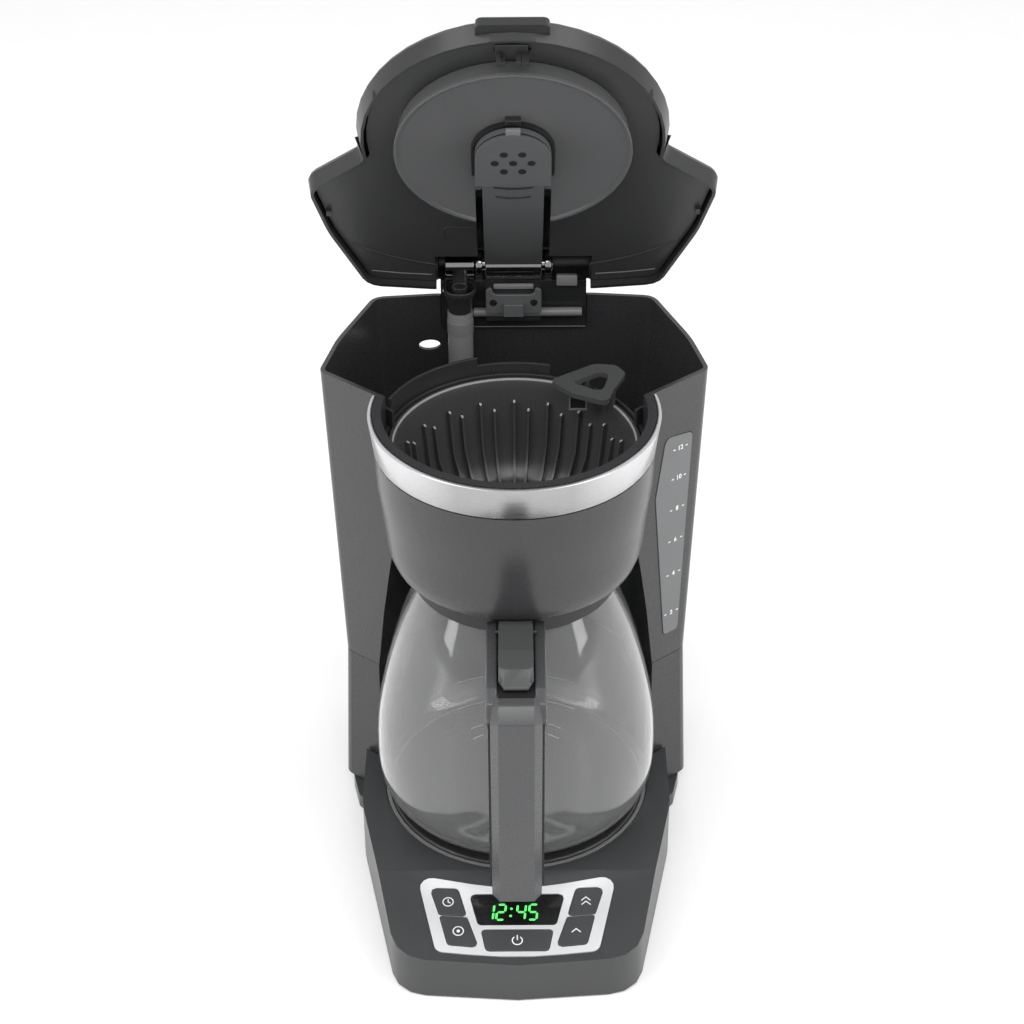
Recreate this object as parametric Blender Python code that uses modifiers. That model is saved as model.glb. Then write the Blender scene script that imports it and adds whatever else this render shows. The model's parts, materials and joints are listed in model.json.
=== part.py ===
"""Drip coffee maker with a flip-up lid, a lift-out filter basket and a glass carafe.

The brewing axis is the vertical line through the basket and the carafe. Outlines are written
around that axis in millimetres, with the front of the machine towards -Y, and every mesh is
built in metres.
"""
import math

import bmesh
import bpy
from mathutils import Matrix, Vector

MM = 0.001
FACETS = 48  # around the brewing axis
GAP = 0.3  # between pieces that touch on the real machine
Y_CENTRE = 0.1  # moves the brewing axis so that the whole machine is centred on Y = 0

# Casing heights
FOOT_HEIGHT = 1.3
BASE_Z = 1.0
PLINTH_Z = 9.7
DECK_Z = 36.5
SEAM_Z = 100.0
RIM_Z = 279.9
WALL = 2.4

# Tank and wings, seen from above at the rim
WING_INNER = (73.0, 16.5)
WING_OUTER = (100.9, 39.2)
WING_MIDDLE = (93.8, 72.0)
WING_REAR = (76.4, 118.6)
REAR_Y = 122.1
WING_SLANT = math.atan2(WING_OUTER[1] - WING_INNER[1], WING_OUTER[0] - WING_INNER[0])
WING_ROOT = (WING_INNER[0] - 11.0, WING_INNER[1] - 11.0 * math.tan(WING_SLANT))  # inside the head
SEAM_INSET = 6.2  # how far each side leans in from the rim to the seam
FLOOR_FLARE = 3.9  # how far each side leans out again from the seam to the floor
NICHE_R = 79.5  # the hollow that the carafe stands in, below the seam

# Brew head
HEAD_BOTTOM_Z = 193.8
NICHE_TOP_Z = HEAD_BOTTOM_Z - 0.3
HEAD_CAVITY_R = 67.0
BAND_TOP_R = 73.9
BAND_LOW_R = 71.5
BAND_LOW_Z = 261.4
BAND_THICK = 2.0
OUTLET_R = 9.0

# Filter basket and its valve
BASKET_TOP_Z = 261.0
BASKET_R = 62.3
BASKET_FLOOR_Z = 204.4
BASKET_WALL = 1.6
VALVE_TIP_Z = 194.8

# Warming plate
PLATE_TOP_Z = 37.6
PLATE_R = 70.5
WELL_R = 73.4

# Control panel: a frame on the sloping front of the deck
PANEL_SLOPE = math.radians(10.0)
PANEL_CENTRE = (0.0, -104.0, 31.2)
PANEL_BACK = -1.9
BEZEL_PROUD = 0.5
BUTTON_PROUD = 0.8
SCREEN_PROUD = 0.2

# Carafe
CARAFE_BASE_Z = 38.2
CARAFE_R = 76.5
GLASS = 2.0
COLLAR_Z = (180.0, 189.6)
HANDLE_HALF_WIDTH = 13.9
CARAFE_PIVOT = (-70.0, 193.0)

# Lid
HINGE_Y = 124.4
HINGE_Z = 296.7
LID_OPEN = math.radians(63.2)
LID_EDGE_Z = 280.3
LID_OVERHANG = 2.7  # how far the lid's lower edge stands out past the casing
LID_FRONT_R = 75.0
LINER_Z = 284.0
DISC_R = 58.6
DISC_Z = 273.4

# Hot-water path
RISER = (-29.1, 111.5)
RISER_R = 6.9
RISER_TOP_Z = 275.0

DARK = ("dark grey casing plastic", (0.075, 0.077, 0.080), 0.42, 0.0)
BLACK = ("black inner plastic", (0.022, 0.023, 0.024), 0.48, 0.0)
SILVER = ("silver painted trim", (0.72, 0.73, 0.74), 0.28, 0.85)
STEEL = ("steel", (0.62, 0.62, 0.63), 0.32, 1.0)
ALUMINIUM = ("cast aluminium", (0.55, 0.56, 0.57), 0.45, 1.0)
RUBBER = ("black rubber", (0.018, 0.018, 0.018), 0.75, 0.0)
SILICONE = ("milky silicone", (0.62, 0.62, 0.60), 0.55, 0.0)
GLASS_CLEAR = ("clear glass", (0.86, 0.88, 0.88), 0.03, 0.0)
SMOKED = ("smoked window", (0.30, 0.31, 0.32), 0.15, 0.0)
SCREEN = ("black display lens", (0.008, 0.009, 0.009), 0.08, 0.0)
BUTTON = ("grey button plastic", (0.11, 0.112, 0.115), 0.45, 0.0)
COATING = ("dark plate coating", (0.045, 0.045, 0.047), 0.35, 0.3)
BOARD = ("green circuit board", (0.03, 0.16, 0.07), 0.5, 0.0)

for leftover in list(bpy.data.objects):
    bpy.data.objects.remove(leftover, do_unlink=True)

PARTS = bpy.data.collections.new("drip_coffee_maker")
CUTTERS = bpy.data.collections.new("cutters")
for group in (PARTS, CUTTERS):
    bpy.context.scene.collection.children.link(group)


# ---------------------------------------------------------------- helpers

def material(spec):
    name, colour, roughness, metallic = spec
    found = bpy.data.materials.get(name)
    if found:
        return found
    made = bpy.data.materials.new(name)
    made.use_nodes = True
    shader = made.node_tree.nodes["Principled BSDF"]
    shader.inputs["Base Color"].default_value = (*colour, 1.0)
    shader.inputs["Roughness"].default_value = roughness
    shader.inputs["Metallic"].default_value = metallic
    return made


def empty(name, place, parent=None):
    made = bpy.data.objects.new(name, None)
    made.location = Vector(place) * MM
    made.empty_display_size = 0.02
    PARTS.objects.link(made)
    if parent:
        made.parent = parent
        made.location -= parent.matrix_world.translation
    bpy.context.view_layer.update()
    return made


def put(name, mesh, spec, parent):
    """Name an object, give it a material, and parent it without moving it."""
    made = bpy.data.objects.new(name, mesh)
    (PARTS if spec else CUTTERS).objects.link(made)
    if spec:
        mesh.materials.append(material(spec))
    else:
        made.hide_render = True
        made.display_type = "WIRE"
    made.parent = parent
    made.matrix_parent_inverse = parent.matrix_world.inverted()
    return made


def smooth(piece, angle=35.0):
    piece.data.shade_smooth()
    piece.data.set_sharp_from_angle(angle=math.radians(angle))


def mesh_from(builder):
    """A mesh filled by a function that works on a bmesh in millimetres."""
    work = bmesh.new()
    builder(work)
    bmesh.ops.scale(work, vec=(MM, MM, MM), verts=work.verts)
    mesh = bpy.data.meshes.new("shape")
    work.to_mesh(mesh)
    work.free()
    return mesh


def box(name, low, high, spec, parent, bevel=0.0):
    size = Vector(high) - Vector(low)
    place = Matrix.Translation((Vector(low) + Vector(high)) / 2) @ Matrix.Diagonal((*size, 1.0))
    made = put(name, mesh_from(lambda b: bmesh.ops.create_cube(b, size=1, matrix=place)), spec, parent)
    if bevel:
        soften(made, bevel)
    return made


def soften(piece, width, segments=2, angle=40.0):
    bevel = piece.modifiers.new("rounded edges", "BEVEL")
    bevel.width = width * MM
    bevel.segments = segments
    bevel.limit_method = "ANGLE"
    bevel.angle_limit = math.radians(angle)


def rod(name, start, end, radius, spec, parent, steps=24, end_radius=None):
    start, end = Vector(start), Vector(end)
    along = end - start
    turn = along.to_track_quat("Z", "Y").to_matrix().to_4x4()
    place = Matrix.Translation((start + end) / 2) @ turn
    tip = radius if end_radius is None else end_radius

    def build(b):
        bmesh.ops.create_cone(b, cap_ends=True, segments=steps, radius1=radius, radius2=tip,
                              depth=along.length, matrix=place)

    made = put(name, mesh_from(build), spec, parent)
    smooth(made)
    return made


def turned(name, profile, spec, parent, steps=FACETS, centre=(0, 0), closed=True):
    """A profile of (radius, height) turned about a vertical axis; its outer side runs downwards."""
    def build(b):
        points = [b.verts.new((radius, 0, height)) for radius, height in profile]
        for first, second in zip(points, points[1:]):
            b.edges.new((first, second))
        if closed:
            b.edges.new((points[-1], points[0]))

    mesh = mesh_from(build)
    made = put(name, mesh, spec, parent)
    made.location = (centre[0] * MM, centre[1] * MM, 0)
    screw = made.modifiers.new("turned", "SCREW")
    screw.axis = "Z"
    screw.steps = steps
    screw.render_steps = steps
    screw.use_merge_vertices = True
    screw.merge_threshold = 0.00001
    screw.use_smooth_shade = True
    return made


def flat(name, outlines, low, high, spec, parent, place=None):
    """A flat outline, with any holes in it, as thick as the distance from low to high."""
    curve = bpy.data.curves.new(name, "CURVE")
    curve.dimensions = "2D"
    curve.fill_mode = "BOTH"
    curve.extrude = (high - low) / 2 * MM
    for outline in outlines:
        spline = curve.splines.new("POLY")
        spline.points.add(len(outline) - 1)
        for point, (x, y) in zip(spline.points, outline):
            point.co = (x * MM, y * MM, 0, 1)
        spline.use_cyclic_u = True
    middle = Matrix.Translation((0, 0, (low + high) / 2))
    return from_curve(name, curve, spec, parent, (place or Matrix()) @ middle)


def from_curve(name, curve, spec, parent, place=None):
    """Turn a curve into a closed mesh in world coordinates."""
    guide = bpy.data.objects.new(name + "_guide", curve)
    CUTTERS.objects.link(guide)
    if place is not None:
        guide.matrix_world = Matrix.Translation(place.translation * MM) @ place.to_3x3().to_4x4()
    bpy.context.view_layer.update()
    ready = guide.evaluated_get(bpy.context.evaluated_depsgraph_get())
    mesh = bpy.data.meshes.new_from_object(ready)
    mesh.transform(guide.matrix_world)
    mesh.materials.clear()
    work = bmesh.new()
    work.from_mesh(mesh)
    bmesh.ops.remove_doubles(work, verts=work.verts, dist=0.000002)
    bmesh.ops.recalc_face_normals(work, faces=work.faces)
    work.to_mesh(mesh)
    work.free()
    bpy.data.objects.remove(guide, do_unlink=True)
    return put(name, mesh, spec, parent)


def tube(name, points, radius, spec, parent, resolution=2):
    curve = bpy.data.curves.new(name, "CURVE")
    curve.dimensions = "3D"
    curve.bevel_depth = radius * MM
    curve.bevel_resolution = resolution
    curve.use_fill_caps = True
    spline = curve.splines.new("POLY")
    spline.points.add(len(points) - 1)
    for point, place in zip(spline.points, points):
        point.co = (*(Vector(place) * MM), 1)
    made = from_curve(name, curve, spec, parent)
    smooth(made)
    return made


def cut(piece, cutter, operation="DIFFERENCE"):
    boolean = piece.modifiers.new(operation.lower() + " " + cutter.name, "BOOLEAN")
    boolean.operation = operation
    boolean.solver = "EXACT"
    boolean.object = cutter


def join(piece, other):
    cut(piece, other, "UNION")


def arc(centre, radius, start, end, steps):
    """Points along an arc, with its angles in degrees."""
    turns = [math.radians(start + (end - start) * i / steps) for i in range(steps + 1)]
    return [(centre[0] + radius * math.cos(a), centre[1] + radius * math.sin(a)) for a in turns]


def rounded(corners, steps=3):
    """A closed outline from (x, y, radius) corners, each rounded by an arc."""
    points = []
    for i, (x, y, radius) in enumerate(corners):
        here = Vector((x, y))
        before = (Vector(corners[i - 1][:2]) - here).normalized()
        after = (Vector(corners[(i + 1) % len(corners)][:2]) - here).normalized()
        half = before.angle(after) / 2
        if radius <= 0 or half > math.radians(89.5):
            points.append((x, y))
            continue
        reach = radius / math.tan(half)
        centre = here + (before + after).normalized() * (radius / math.sin(half))
        first = here + before * reach - centre
        sweep = first.angle_signed(here + after * reach - centre)
        for step in range(steps + 1):
            turn = -sweep * step / steps
            spun = Matrix.Rotation(turn, 2) @ first
            points.append(tuple(centre + spun))
    return points


def offset(corners, distance):
    """Corners moved outwards by a distance; the corners run anticlockwise."""
    moved = []
    for i, (x, y, radius) in enumerate(corners):
        here = Vector((x, y))
        before = (here - Vector(corners[i - 1][:2])).normalized()
        after = (Vector(corners[(i + 1) % len(corners)][:2]) - here).normalized()
        out_before = Vector((before.y, -before.x))
        out_after = Vector((after.y, -after.x))
        spread = (out_before + out_after) / (1 + out_before.dot(out_after))
        moved.append((x + spread.x * distance, y + spread.y * distance, max(radius + distance, 0.0)))
    return moved


def mirrored(half):
    """A closed outline from its right half, listed from the front centre to the rear centre."""
    return half + [(-x, y, radius) for x, y, radius in reversed(half) if abs(x) > 1e-6]


def lean(piece, low_z, low_shift, high_z, high_shift):
    """Move each side of a piece in or out in proportion to its height."""
    for vertex in piece.data.vertices:
        share = (vertex.co.z / MM - low_z) / (high_z - low_z)
        shift = low_shift + (high_shift - low_shift) * share
        if abs(vertex.co.x) > 30 * MM:
            vertex.co.x += shift * MM * math.copysign(1.0, vertex.co.x)


def lean_upper(piece):
    lean(piece, SEAM_Z, -SEAM_INSET, RIM_Z, 0.0)


def lean_lower(piece):
    lean(piece, 10.0, FLOOR_FLARE - SEAM_INSET, SEAM_Z, -SEAM_INSET)


def tank_corners(inner):
    """The tank and wings; the inner corner is where each wing's slanting front ends."""
    return mirrored([
        (0.0, inner[1], 0.0), (*inner, 4.0), (*WING_OUTER, 6.0), (*WING_MIDDLE, 90.0),
        (*WING_REAR, 9.0), (43.4, REAR_Y, 0.0), (0.0, REAR_Y, 0.0)])


machine = empty("coffee_maker", (0, 0, 0))
lid_pivot = empty("lid_pivot", (0, HINGE_Y, HINGE_Z), machine)
basket_rise = empty("basket_rise", (0, 0, BASKET_FLOOR_Z), machine)
valve_rise = empty("valve_rise", (0, 0, VALVE_TIP_Z), basket_rise)
carafe_slide = empty("carafe_slide", (0, 0, CARAFE_BASE_Z), machine)
carafe_pivot = empty("carafe_lid_pivot", (0, *CARAFE_PIVOT), carafe_slide)


def niche(name, grow, high):
    """The round space that the carafe stands in, narrower towards the brew head."""
    wall = [(63.2, high), (66.5, 183), (69.5, 166), (74.0, 139), (77.0, 118), (NICHE_R, SEAM_Z), (NICHE_R, 0)]
    if high > NICHE_TOP_Z:
        wall.insert(1, (63.2, NICHE_TOP_Z))
    profile = [(0, high)] + [(radius + grow, height) for radius, height in wall] + [(0, 0)]
    return turned(name, profile, None, machine, steps=48, closed=False)


def in_panel():
    """The panel's own frame: x to the right, y up the slope, z out of the deck."""
    return Matrix.Translation(Vector(PANEL_CENTRE)) @ Matrix.Rotation(PANEL_SLOPE, 4, "X")


def side_frame():
    """A frame for outlines drawn from the side: x to the rear, y up, z to the right."""
    return Matrix(((0, 0, 1, 0), (1, 0, 0, 0), (0, 1, 0, 0), (0, 0, 0, 1)))


# ---------------------------------------------------------------- base

ROOF = 5.0  # thickness of the deck
SKIN = 2.8  # thickness of the base's walls
PORT = ((-46, 68, 12), (46, 86, 27))  # the way through for the hoses


def deck_half():
    return [(0.0, -133.8, 0.0), (63.0, -128.9, 20.0), (85.4, -20.0, 60.0)]


def base_corners():
    return mirrored(deck_half() + [
        (85.4, 12.5, 4.0), (90.4, 19.0, 3.0), (94.4, 37.0, 6.0), (90.0, 70.0, 60.0),
        (71.5, 116.0, 9.0), (0.0, 119.0, 0.0)])


def deck_outline(inset):
    """The deck between the wings, with a round rear edge inside the carafe's niche."""
    corners = offset(mirrored(deck_half() + [(85.4, 27.7, 0.0), (76.5, 20.3, 0.0), (0.0, 20.3, 0.0)]), -inset)
    count = len(deck_half()) + 1
    right = corners[:count]
    left = [(-x, y, radius) for x, y, radius in reversed(right[1:])]
    ring_r = NICHE_R - GAP - inset
    turn = math.degrees(math.asin((20.3 - 1.2 * inset) / ring_r))
    ring = [(x, y, 0.0) for x, y in arc((0, 0), ring_r, turn, 180 - turn, 24)]
    return rounded(right + ring + left)


def slope_cutter(name, drop):
    made = box(name, (-120, -70, 0), (120, 70, 60), None, machine)
    made.data.transform(Matrix.Translation(Vector(PANEL_CENTRE) * MM) @ Matrix.Rotation(PANEL_SLOPE, 4, "X")
                        @ Matrix.Translation((0, 0, -drop * MM)))
    return made


def base_housing():
    base = flat("base_housing", [rounded(base_corners())], BASE_Z, PLINTH_Z, DARK, machine)
    join(base, flat("deck_block", [deck_outline(0.0)], BASE_Z + 1, DECK_Z, None, machine))
    cut(base, slope_cutter("deck_slope", 0.0))
    inside = rounded(offset(base_corners(), -SKIN))
    cut(base, flat("plinth_room", [inside], BASE_Z - 2, PLINTH_Z - 2, None, machine))
    room = flat("deck_room", [deck_outline(SKIN)], BASE_Z + 2, DECK_Z - ROOF, None, machine)
    cut(room, slope_cutter("room_slope", ROOF))
    cut(base, room)
    cut(base, rod("plate_well", (0, 0, 33.6), (0, 0, 60), WELL_R, None, machine, FACETS))
    cut(base, rod("plate_opening", (0, 0, 20), (0, 0, 50), 65, None, machine, 32))
    cut(base, box("base_port", *PORT, None, machine))
    cut(base, flat("bezel_recess", [panel_outline(GAP)], -2.2, 5, None, machine, in_panel()))
    cut(base, flat("bezel_opening", [panel_outline(-2.0)], -12, 5, None, machine, in_panel()))


def bottom_parts():
    outline = rounded(offset(base_corners(), -SKIN - GAP))
    flat("bottom_cover", [outline], 1.6, 3.2, BLACK, machine)
    feet = {"front_left": (-52, -108), "front_right": (52, -108),
            "rear_left": (-62, 94), "rear_right": (62, 94)}
    for name, (x, y) in feet.items():
        rod("foot_" + name, (x, y, 0), (x, y, FOOT_HEIGHT), 7.0, RUBBER, machine, 24, 6.4)
        inner_y = y * 0.62
        rod("base_screw_" + name, (x, inner_y, 0.5), (x, inner_y, 1.3), 3.0, STEEL, machine, 12)


def warming_parts():
    profile = [(0, PLATE_TOP_Z), (69.5, PLATE_TOP_Z), (PLATE_R, 37.1), (PLATE_R, 34.6), (69.7, 34.6),
               (69.7, 36.4), (0, 36.4)]
    turned("warming_plate", profile, COATING, machine, closed=False)
    profile = [(72.8, 36.6), (72.8, 33.9), (65.6, 33.9), (65.6, 34.3), (70.9, 34.3), (70.9, 36.6)]
    turned("plate_seal", profile, SILICONE, machine)
    loop = [(x, y, 31.5) for x, y in arc((0, 0), 42.0, 120, 420, 30)]
    tube("heating_element", loop, 4.2, ALUMINIUM, machine)
    rod("thermostat", (0, 0, 28.5), (0, 0, 36.0), 8.0, STEEL, machine, 20)
    rod("thermal_fuse", (-8, -16, 33), (8, -16, 33), 2.6, SILICONE, machine, 12)


def hoses():
    x, y = RISER
    route = [(-22.5, 41.5, 30.5), (-24, 48, 27), (-26, 57, 22), (-28, 68, 19.5), (x, 82, 19.5), (x, 96, 19.7),
             (x, 104, 22), (x, 109, 28), (x, y, 37), (x, y, 52), (x, y, 69.4)]
    tube("outlet_hose", route, 4.0, SILICONE, machine)
    route = [(24, 100, 83.6), (24, 100, 60), (24, 100, 38), (24, 98, 29), (24, 93, 22.5), (24, 84, 19.7),
             (23.5, 70, 19.5), (23, 58, 22), (22.6, 49, 26.5), (22.3, 42, 30.2)]
    tube("inlet_hose", route, 4.0, SILICONE, machine)
    rod("check_valve", (24, 100, 84), (24, 100, 99.6), 7.0, BLACK, machine, 20)
    rod("riser_tube", (x, y, 69.7), (x, y, RISER_TOP_Z), RISER_R, SILICONE, machine, 28)


# ---------------------------------------------------------------- control panel

def panel_outline(grow):
    """Four corners joined by a hollow upper edge and a full lower one, like the frame's own shape."""
    upper, lower = 25.2, -21.2
    top = [(x, upper - 6.6 * (1 - (x / 40.0) ** 2), 0.0) for x in (24, 12, 0, -12, -24)]
    bottom = [(x, lower - 3.8 * (1 - (x / 40.0) ** 2), 0.0) for x in (-24, -8, 8, 24)]
    corners = [(42.4, lower - 0.4, 5.0), (53.4, upper + 1.8, 6.0)] + top + [(-53.4, upper + 1.8, 6.0),
                                                                           (-42.4, lower - 0.4, 5.0)] + bottom
    return rounded(offset(corners, grow), 4)


def button_outlines():
    """Outlines in the panel's frame, from the left pair to the right pair and the wide one in front."""
    upper = [(-46.2, 18.6, 2.5), (-41.0, 1.6, 1.0), (-26.6, 0.2, 1.5), (-31.4, 18.0, 2.5)]
    lower = [(-40.8, 0.8, 1.0), (-36.2, -17.6, 2.0), (-20.3, -19.3, 2.0), (-26.4, -0.6, 1.0)]
    wide = [(-18.8, -8.4, 1.5), (-16.2, -21.6, 2.0), (16.2, -21.6, 2.0), (18.8, -8.4, 1.5)]
    right = [[(-x, y, radius) for x, y, radius in reversed(shape)] for shape in (upper, lower)]
    return {"program_button": upper, "auto_button": lower, "hour_button": right[0], "minute_button": right[1],
            "power_button": wide}


def screen_outline():
    return [(-25.2, 14.4, 2.5), (-20.4, -5.2, 2.0), (20.4, -5.2, 2.0), (25.2, 14.4, 2.5)]


def control_panel():
    holes = [rounded(offset(shape, 0.35), 2) for shape in button_outlines().values()]
    holes.append(rounded(offset(screen_outline(), GAP), 2))
    flat("control_bezel", [panel_outline(0.0)] + holes, PANEL_BACK, BEZEL_PROUD, SILVER, machine, in_panel())
    flat("display_module", [rounded(screen_outline())], PANEL_BACK, SCREEN_PROUD, SCREEN, machine, in_panel())
    for name, shape in button_outlines().items():
        press = empty(name + "_travel", PANEL_CENTRE, machine)
        flat(name, [rounded(shape)], -1.6, BUTTON_PROUD, BUTTON, press, in_panel())
    board = box("control_board", (-44, -19, -9.0), (44, 14, -7.4), BOARD, machine)
    board.data.transform(Matrix.Translation(Vector(PANEL_CENTRE) * MM) @ Matrix.Rotation(PANEL_SLOPE, 4, "X"))


# ---------------------------------------------------------------- casing

def leaning_tank(name, inset, low, high, spec, leaning):
    made = flat(name, [rounded(offset(tank_corners(WING_ROOT), -inset))], low, high, spec, machine)
    leaning(made)
    return made


def lower_housing():
    shell = leaning_tank("lower_housing", 0.0, 10.0, SEAM_Z - GAP, DARK, lean_lower)
    cut(shell, niche("lower_niche", 0.0, 205))
    room = leaning_tank("lower_room", WALL, 5.0, SEAM_Z + 5, None, lean_lower)
    cut(room, niche("lower_room_niche", WALL, 205))
    cut(shell, room)
    cut(shell, box("lower_port", *PORT, None, machine))
    cut(shell, rod("cord_hole", (58, 110, 24), (58, 130, 24), 5.3, None, machine))


def window_outline(grow):
    """The water window in the plane of the right wing's slanting front, narrower at its foot."""
    corners = [(0.7, -67.6, 2.0), (11.4, -68.0, 2.5), (9.9, 61.4, 3.0), (-9.2, 64.3, 4.0), (-13.4, 27.8, 6.0)]
    return rounded(offset(corners, grow), 3)


def wing_place(depth):
    middle_x = 86.5
    middle_y = WING_INNER[1] + (middle_x - WING_INNER[0]) * math.tan(WING_SLANT)
    along = Vector((math.cos(WING_SLANT), math.sin(WING_SLANT), 0))
    out = Vector((math.sin(WING_SLANT), -math.cos(WING_SLANT), 0))
    place = Matrix((along, Vector((0, 0, 1)), out)).transposed().to_4x4()
    place.translation = Vector((middle_x, middle_y, 184.2)) + out * depth
    return place


def upper_housing():
    shell = leaning_tank("upper_housing", 0.0, SEAM_Z, RIM_Z + 2, DARK, lean_upper)
    cut(shell, niche("upper_niche", 0.0, NICHE_TOP_Z))
    bowl = [(0, RIM_Z + 3), (71.6, RIM_Z + 3), (71.6, RIM_Z), (69.2, 261.1), (71.5, 261.1), (71.1, 250),
            (70.5, 240), (68.8, 228), (67.4, 215), (66.6, 205), (65.4, 200), (63.6, 195.6),
            (61.0, HEAD_BOTTOM_Z), (0, HEAD_BOTTOM_Z)]
    join(shell, turned("head_bowl", bowl, None, machine, closed=False))
    room = leaning_tank("tank_room", WALL, SEAM_Z + WALL, 204, None, lean_upper)
    cut(room, niche("tank_room_niche", WALL, 210))
    cut(shell, room)
    cut(shell, leaning_tank("rim_room", WALL, 201.8, 290, None, lean_upper))
    hollow = [(0, 290), (HEAD_CAVITY_R, 290), (HEAD_CAVITY_R, 262), (66.6, 248), (64.8, 226), (63.4, 211),
              (61.6, 204.5), (60.0, 202), (0, 202)]
    cut(shell, turned("head_room", hollow, None, machine, closed=False))
    cut(shell, box("above_rim", (-120, -120, RIM_Z), (120, 140, 300), None, machine))
    cut(shell, rod("head_outlet", (0, 0, 190), (0, 0, 210), OUTLET_R, None, machine))
    cut(shell, rod("riser_hole", (*RISER, 90), (*RISER, 110), RISER_R + 0.4, None, machine))
    cut(shell, rod("drain_hole", (24, 100, 90), (24, 100, 110), 3.5, None, machine))
    round_hole = [(-46.5 + 6.0 * math.cos(math.tau * i / 16), 249.2 + 3.15 * math.sin(math.tau * i / 16))
                  for i in range(16)]
    upright = Matrix.Rotation(math.pi / 2, 4, "X")
    cut(shell, flat("overflow", [round_hole], -130, -110, None, machine, upright))
    cut(shell, box("hinge_notch", (-40, 112, 261), (40, 130, 290), None, machine))
    recess = flat("window_recess", [window_outline(GAP)], -1.2, 6, None, machine, wing_place(0))
    lean_upper(recess)
    cut(shell, recess)


def trim_and_window():
    top_z = RIM_Z - GAP
    profile = [(BAND_TOP_R, top_z), (BAND_LOW_R, BAND_LOW_Z), (BAND_LOW_R - BAND_THICK, BAND_LOW_Z),
               (BAND_TOP_R - BAND_THICK, top_z)]
    band = turned("trim_band", profile, SILVER, machine)
    cut(band, leaning_tank("band_end", -GAP, 250, 290, None, lean_upper))
    window = flat("water_window", [window_outline(0)], -0.9, 0.5, SMOKED, machine, wing_place(0))
    lean_upper(window)
    gland = rod("cord_inlet", (58, 117, 24), (58, 122.4, 24), 5.0, RUBBER, machine)
    join(gland, rod("gland_flange", (58, 122.35, 24), (58, 124.0, 24), 7.5, None, machine))
    cut(gland, rod("gland_bore", (58, 110, 24), (58, 130, 24), 3.6, None, machine, 16))


# ---------------------------------------------------------------- brewing

def brew_chamber():
    profile = [(66.7, 262), (66.2, 248), (64.4, 226), (63.0, 211), (61.2, 205), (59.4, 202.3), (9.5, 202.3),
               (9.5, 203.8), (58.6, 203.8), (59.9, 206), (61.5, 211.5), (62.9, 226.3), (64.7, 248.2),
               (65.2, 262)]
    cup = turned("brew_chamber", profile, BLACK, machine)
    profile = [(69.2, 272), (69.2, 255), (66.0, 255), (66.0, 258), (67.6, 258), (67.6, 272)]
    fence = turned("chamber_fence", profile, None, machine)
    cut(fence, box("fence_front", (-90, -90, 250), (90, 24, 280), None, machine))
    cut(fence, box("fence_gap", (19, 10, 258.5), (80, 90, 280), None, machine))
    cut(fence, box("fence_step", (-19.5, 40, 267.4), (30, 90, 280), None, machine))
    join(cup, fence)


def filter_basket():
    top, floor, wall = BASKET_TOP_Z, BASKET_FLOOR_Z, BASKET_WALL
    profile = [(64.4, top), (64.4, top - 2), (BASKET_R, top - 2.6), (58.4, 225), (50.6, 208), (44.5, floor),
               (5.0, floor), (5.0, floor + wall), (43.8, floor + wall), (49.2, 209.2), (56.8, 225.5),
               (BASKET_R - wall, top - 1.2), (BASKET_R - wall + 0.3, top)]
    basket = turned("filter_basket", profile, BLACK, basket_rise)
    loop = rounded([(19.5, 44.5, 3.0), (31.0, 26.0, 4.0), (43.5, 22.0, 4.0), (57.6, 33.0, 5.0),
                    (55.5, 50.0, 10.0), (42.5, 58.5, 12.0), (27.0, 52.5, 12.0)])
    hole = rounded([(29.5, 43.0, 2.0), (41.5, 32.0, 3.5), (49.5, 44.5, 4.5), (42.0, 50.5, 5.0)])
    grip = flat("basket_grip", [loop, hole], 268.4, 271.4, None, basket_rise)
    join(basket, grip)
    for i, degrees in enumerate((52.5, 31.0)):
        x, y = 61.6 * math.cos(math.radians(degrees)), 61.6 * math.sin(math.radians(degrees))
        join(basket, rod(f"grip_post_{i}", (x, y, 256), (x, y, 269), 2.0, None, basket_rise, 12))


def drip_stop():
    profile = [(0, 214.8), (3.2, 214.8), (3.2, 213.4), (7.0, 213.4), (7.0, 211.7), (3.2, 211.7), (3.2, 198.2),
               (5.4, 198.2), (5.4, 197.2), (2.6, 197.0), (2.0, VALVE_TIP_Z), (0, VALVE_TIP_Z)]
    turned("drip_valve", profile, STEEL, valve_rise, 20, closed=False)
    turned("valve_seal", [(6.8, 211.4), (6.8, 210.4), (3.5, 210.4), (3.5, 211.4)], SILICONE, valve_rise, 20)
    turns, per_turn, low, high = 4, 12, 199.2, 203.6
    count = turns * per_turn
    coil = [(4.3 * math.cos(2 * math.pi * i / per_turn), 4.3 * math.sin(2 * math.pi * i / per_turn),
             low + (high - low) * i / count) for i in range(count + 1)]
    tube("valve_spring", coil, 0.4, STEEL, basket_rise, 1)


# ---------------------------------------------------------------- lid

LID_SECTIONS = (  # height, growth of the wings' outline, front radius, rear edge
    (LID_EDGE_Z, LID_OVERHANG, LID_FRONT_R, 124.8), (289.5, 4.2, 77.3, 124.7), (292.0, 3.2, 76.2, 124.6),
    (296.0, -3.0, 70.0, 124.2), (301.5, -14.0, 60.0, 123.2), (305.2, -27.0, 47.0, 121.5))
HOOD_R = (7.6, 9.2)  # inner and outer radius of the lid's curl round its hinge
HOOD_HALF_WIDTH = 43.0


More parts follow.
